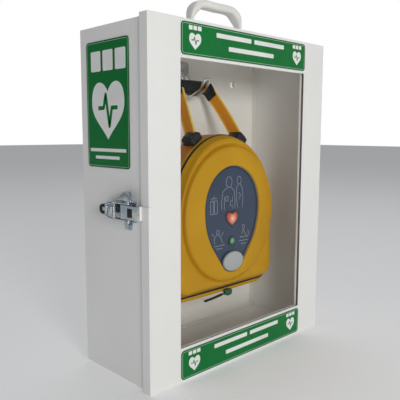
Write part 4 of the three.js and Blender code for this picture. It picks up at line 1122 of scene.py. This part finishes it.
def zip_slider():
    """Zip slider with a soft green tag, and the pull strip that hangs from it."""
    (x0, y0, _), (x1, y1, z1) = box("zip_slider")
    middle, y = (x0 + x1) / 2, (y0 + y1) / 2
    shape = Shape()
    shape.add(*block((x0 + 1, y - 3.2, z1 - 2.6), (x1 - 1, y + 1.2, z1 + 0.1), 0.8), 1)
    shape.add(*block((middle - 2.2, y - 3.6, z1 - 4.2), (middle + 2.2, y - 0.6, z1 - 2.0), 0.7), 1)
    tag = [(-8.2, 0.4), (-7.4, -4.6), (-4.4, -7.2), (2.0, -8.4), (7.2, -6.6), (8.4, -2.4), (7.0, 1.2)]
    tag += [(1.0, 2.2), (-5.0, 1.8)]
    tag = [tuple(p) for p in smooth_line([*tag, tag[0]], 5)[:-1]]
    place = sheet_place((middle, y - 4.0, z1 - 0.6), (1, 0, 0), (0, 0, 1), (0, -1, 0))
    shape.add(*plate(tag, -2.6, 1.6, place, 1.2), 0)
    skins = [GREEN_PLASTIC, ZINC]
    shape.make("zip_slider_body", "zip_slider", "green_plastic", skins, replaces=["zip_slider"])

    (x0, _, _), (x1, _, z1) = box("zip_pull")
    hang = [(x1, y - 1, z1 - 0.5), (x1 - 9, y - 1.4, z1 - 1.2), (x1 - 22, y - 1.6, z1 - 2.4)]
    path = smooth_line([*hang, (x0 + 0.8, y - 1.8, z1 - 3.2)], 8)
    shape = Shape().add(*loft(sweep(path, rounded(1.9, 1.3, 0.9, steps=3), (0, 1, 0))))
    for k in range(4, len(path) - 2, 2):
        here = [path[k] * 0.7 + path[k + 1] * 0.3, path[k] * 0.3 + path[k + 1] * 0.7]
        shape.add(*loft(sweep(here, rounded(2.2, 1.6, 0.9, steps=2), (0, 1, 0))))
    shape.make("zip_pull_strip", "zip_slider", "black_plastic", BLACK, replaces=["zip_pull"])


# ---- Labels ----


def printed(shape, outline, place):
    """One white shape of the print, standing a little proud of the label."""
    shape.add(*plate(outline, -0.1, 0.09, place), 0)


def pulse(shape, place, u, v, wide, tall, width):
    """A generic heartbeat line."""
    steps = [(-1, 0), (-0.42, 0), (-0.2, 0.62), (0.16, -0.85), (0.42, 0), (1, 0)]
    strokes(shape, [[(u + a * wide, v + b * tall) for a, b in steps]], width, place, 0.02, 0.13, 1)


def label_art(name, place, half_u, half_v, draw, body):
    """Dark border, thin pale line and white bars and hearts on one label."""
    shape = Shape()
    outer = rounded(half_u, half_v, 5)
    shape.add(*hoop(outer, shrink(outer, 1.7), -0.1, 0.05, place), 2)
    shape.add(*hoop(shrink(outer, 1.75), shrink(outer, 2.3), -0.1, 0.08, place), 3)
    draw(shape)
    shape.make(name, body, "green_label", [INK, GREEN, DARK_GREEN, PALE_INK])


def rail_label(name):
    """Three bars, two rows of blocks and two hearts on a door label."""
    low, high = box(name)
    middle, half_v = (low[2] + high[2]) / 2, (high[2] - low[2]) / 2
    place = sheet_place((0, low[1], middle), (1, 0, 0), (0, 0, 1), (0, -1, 0))
    bars = [(-32.5, 9.6, 34.0, 2.9), (41.0, 9.6, 33.0, 2.9), (3.6, -5.2, 47.0, 2.9)]

    def draw(shape):
        for u, v, half, tall in bars:
            printed(shape, rounded(half, tall, 0.9, (u, v), 3), place)
        for u in (-104.0, 106.5):
            for k in (-1, 0, 1):
                printed(shape, rounded(3.1, 2.6, 0.7, (u + 7.6 * k, 13.4), 3), place)
            printed(shape, heart(10.2, 7.6, -12.6, u), place)
            pulse(shape, place, u, -1.2, 6.4, 5.4, 1.3)

    label_art(name + "_print", place, high[0], half_v, draw, "door")


def side_label():
    """Three blocks, a large heart and two bars on the cabinet's side."""
    low, high = box("side_label")
    centre_y, centre_z = (low[1] + high[1]) / 2, (low[2] + high[2]) / 2
    half_u, half_v = (high[1] - low[1]) / 2, (high[2] - low[2]) / 2
    place = sheet_place((low[0], centre_y, centre_z), (0, -1, 0), (0, 0, 1), (-1, 0, 0))

    def draw(shape):
        for k in (-1, 0, 1):
            printed(shape, rounded(10.8, 12.6, 2.0, (2.0 + 26.4 * k, 54.6), 3), place)
        printed(shape, heart(35.0, 29.6, -43.6, 0.8, 24), place)
        pulse(shape, place, 0.8, -4.0, 21, 27, 5.0)
        printed(shape, rounded(39.0, 2.1, 0.8, (-0.8, -57.2), 3), place)
        printed(shape, rounded(26.2, 2.0, 0.8, (-2.0, -66.6), 3), place)

    label_art("side_label_print", place, half_u, half_v, draw, "cabinet")


# ---- Latch details ----


def latch_details():
    """Pressed cover of the lever with rolled edges, black strips on it as painted groove shade, and the
    base's upper wing.
    """
    low, high = box("latch_lever")
    z = (low[2] + high[2]) / 2
    face = sheet_place((low[0], 0, z), (0, -1, 0), (0, 0, 1), (-1, 0, 0))
    tip, nose = -(high[1] - 7.5), -box("latch_bail")[1][1] - 7.6  # the bail swings past the nose
    lower = [(tip, -6.0), (tip + 9, -8.4), (nose - 2, -9.6), (nose, -8.6)]
    outline = lower + [(u, -v) for u, v in lower[::-1]]
    shape = Shape().add(*plate(outline, -0.2, 1.2, face, 0.7))
    for edge in (-1, 1):
        bead = [(tip + 2, edge * 6.5), (tip + 9, edge * 8.7), (nose - 1.5, edge * 9.8)]
        path = [face(u, v, 1.0) for u, v in smooth_line(bead, 6)]
        shape.add(*loft(sweep(path, rounded(1.1, 1.1, 1.0, steps=3), (1, 0, 0))))
    shape.add(*plate(rounded(3.2, 5.4, 1.4, (tip + 12.0, 0), 4), 1.0, 1.9, face, 0.6))
    for u in (tip + 5.0, nose - 1.6):
        shape.add(*plate(rounded(0.8, 5.4, 0.7, (u, 0), 3), 1.0, 1.8, face, 0.5))
    shape.make("latch_lever_cover", "latch_lever", "zinc_plate", ZINC)
    # black strips across the lever where its grooves are: painted shade
    groove_shade = Shape()
    for u in (tip + 7.2, nose - 3.6):
        groove_shade.add(*plate(rounded(0.55, 6.0, 0.5, (u, 0), 3), 1.0, 1.25, face))
    groove_shade.make("latch_lever_grooves", "latch_lever", "zinc_plate", BLACK)

    low, high = box("latch_base")
    top = high[2]
    side = sheet_place((0, 0, 0), (0, -1, 0), (0, 0, 1), (-1, 0, 0))
    wing = [(88, -9.6), (119, -9.6), (118.5, -7.5), (110, 1.0), (105, 1.2), (97, -4.5)]
    wing_rear, wing_front = 183.5, 187.2
    shape = Shape().add(*plate([(u, top + v) for u, v in wing], wing_rear, wing_front, side, 0.9))
    edge_line = smooth_line([(105, top + 0.6), (110, top + 0.2), (118, top - 8.2)], 6)
    rim = [side(u, v, wing_front - 0.2) for u, v in edge_line]
    shape.add(*loft(sweep(rim, rounded(0.9, 0.9, 0.8, steps=3), (1, 0, 0))))
    shape.make("latch_base_wing", "cabinet", "zinc_plate", ZINC)


def wall_caps():
    """Caps over the four wall screws in the back panel."""
    front = box("back_panel")[0][1]
    half_x, half_z = 120.5, 174
    profile = [(3.6, -8.0), (3.6, -0.1), (5.4, 0.1), (5.4, 0.4), (4.8, 0.8), (3.0, 1.0), (0.4, 1.1)]
    places = [(x, z) for z in (half_z, -half_z) for x in (-half_x, half_x)]
    for k, (x, z) in enumerate(places):
        verts, faces = turned(profile, (x, front, z), (0, -1, 0), 28)
        make(f"wall_screw_cap_{k}", verts, faces, "cabinet", "white_plastic", WHITE_PAINTED_LIGHT, 50)


# ---- Assembly ----

scene.view_settings.view_transform = "Standard"
add_camera()
add_world()
for light_name, settings in LIGHTS.items():
    add_light(light_name, *settings)
add_floor()
finish_cad_nodes()
case_front()
case_rear()
case_zip()
case_pouch()
for side in SIDES:
    strap(side)
    strap_tab(side)
    strap_clip(side)
grip()
hook()
carry_handle()
panel_rim()
pictograms()
cap()
controls()
zip_slider()
rail_label("top_label")
rail_label("bottom_label")
side_label()
latch_details()
wall_caps()
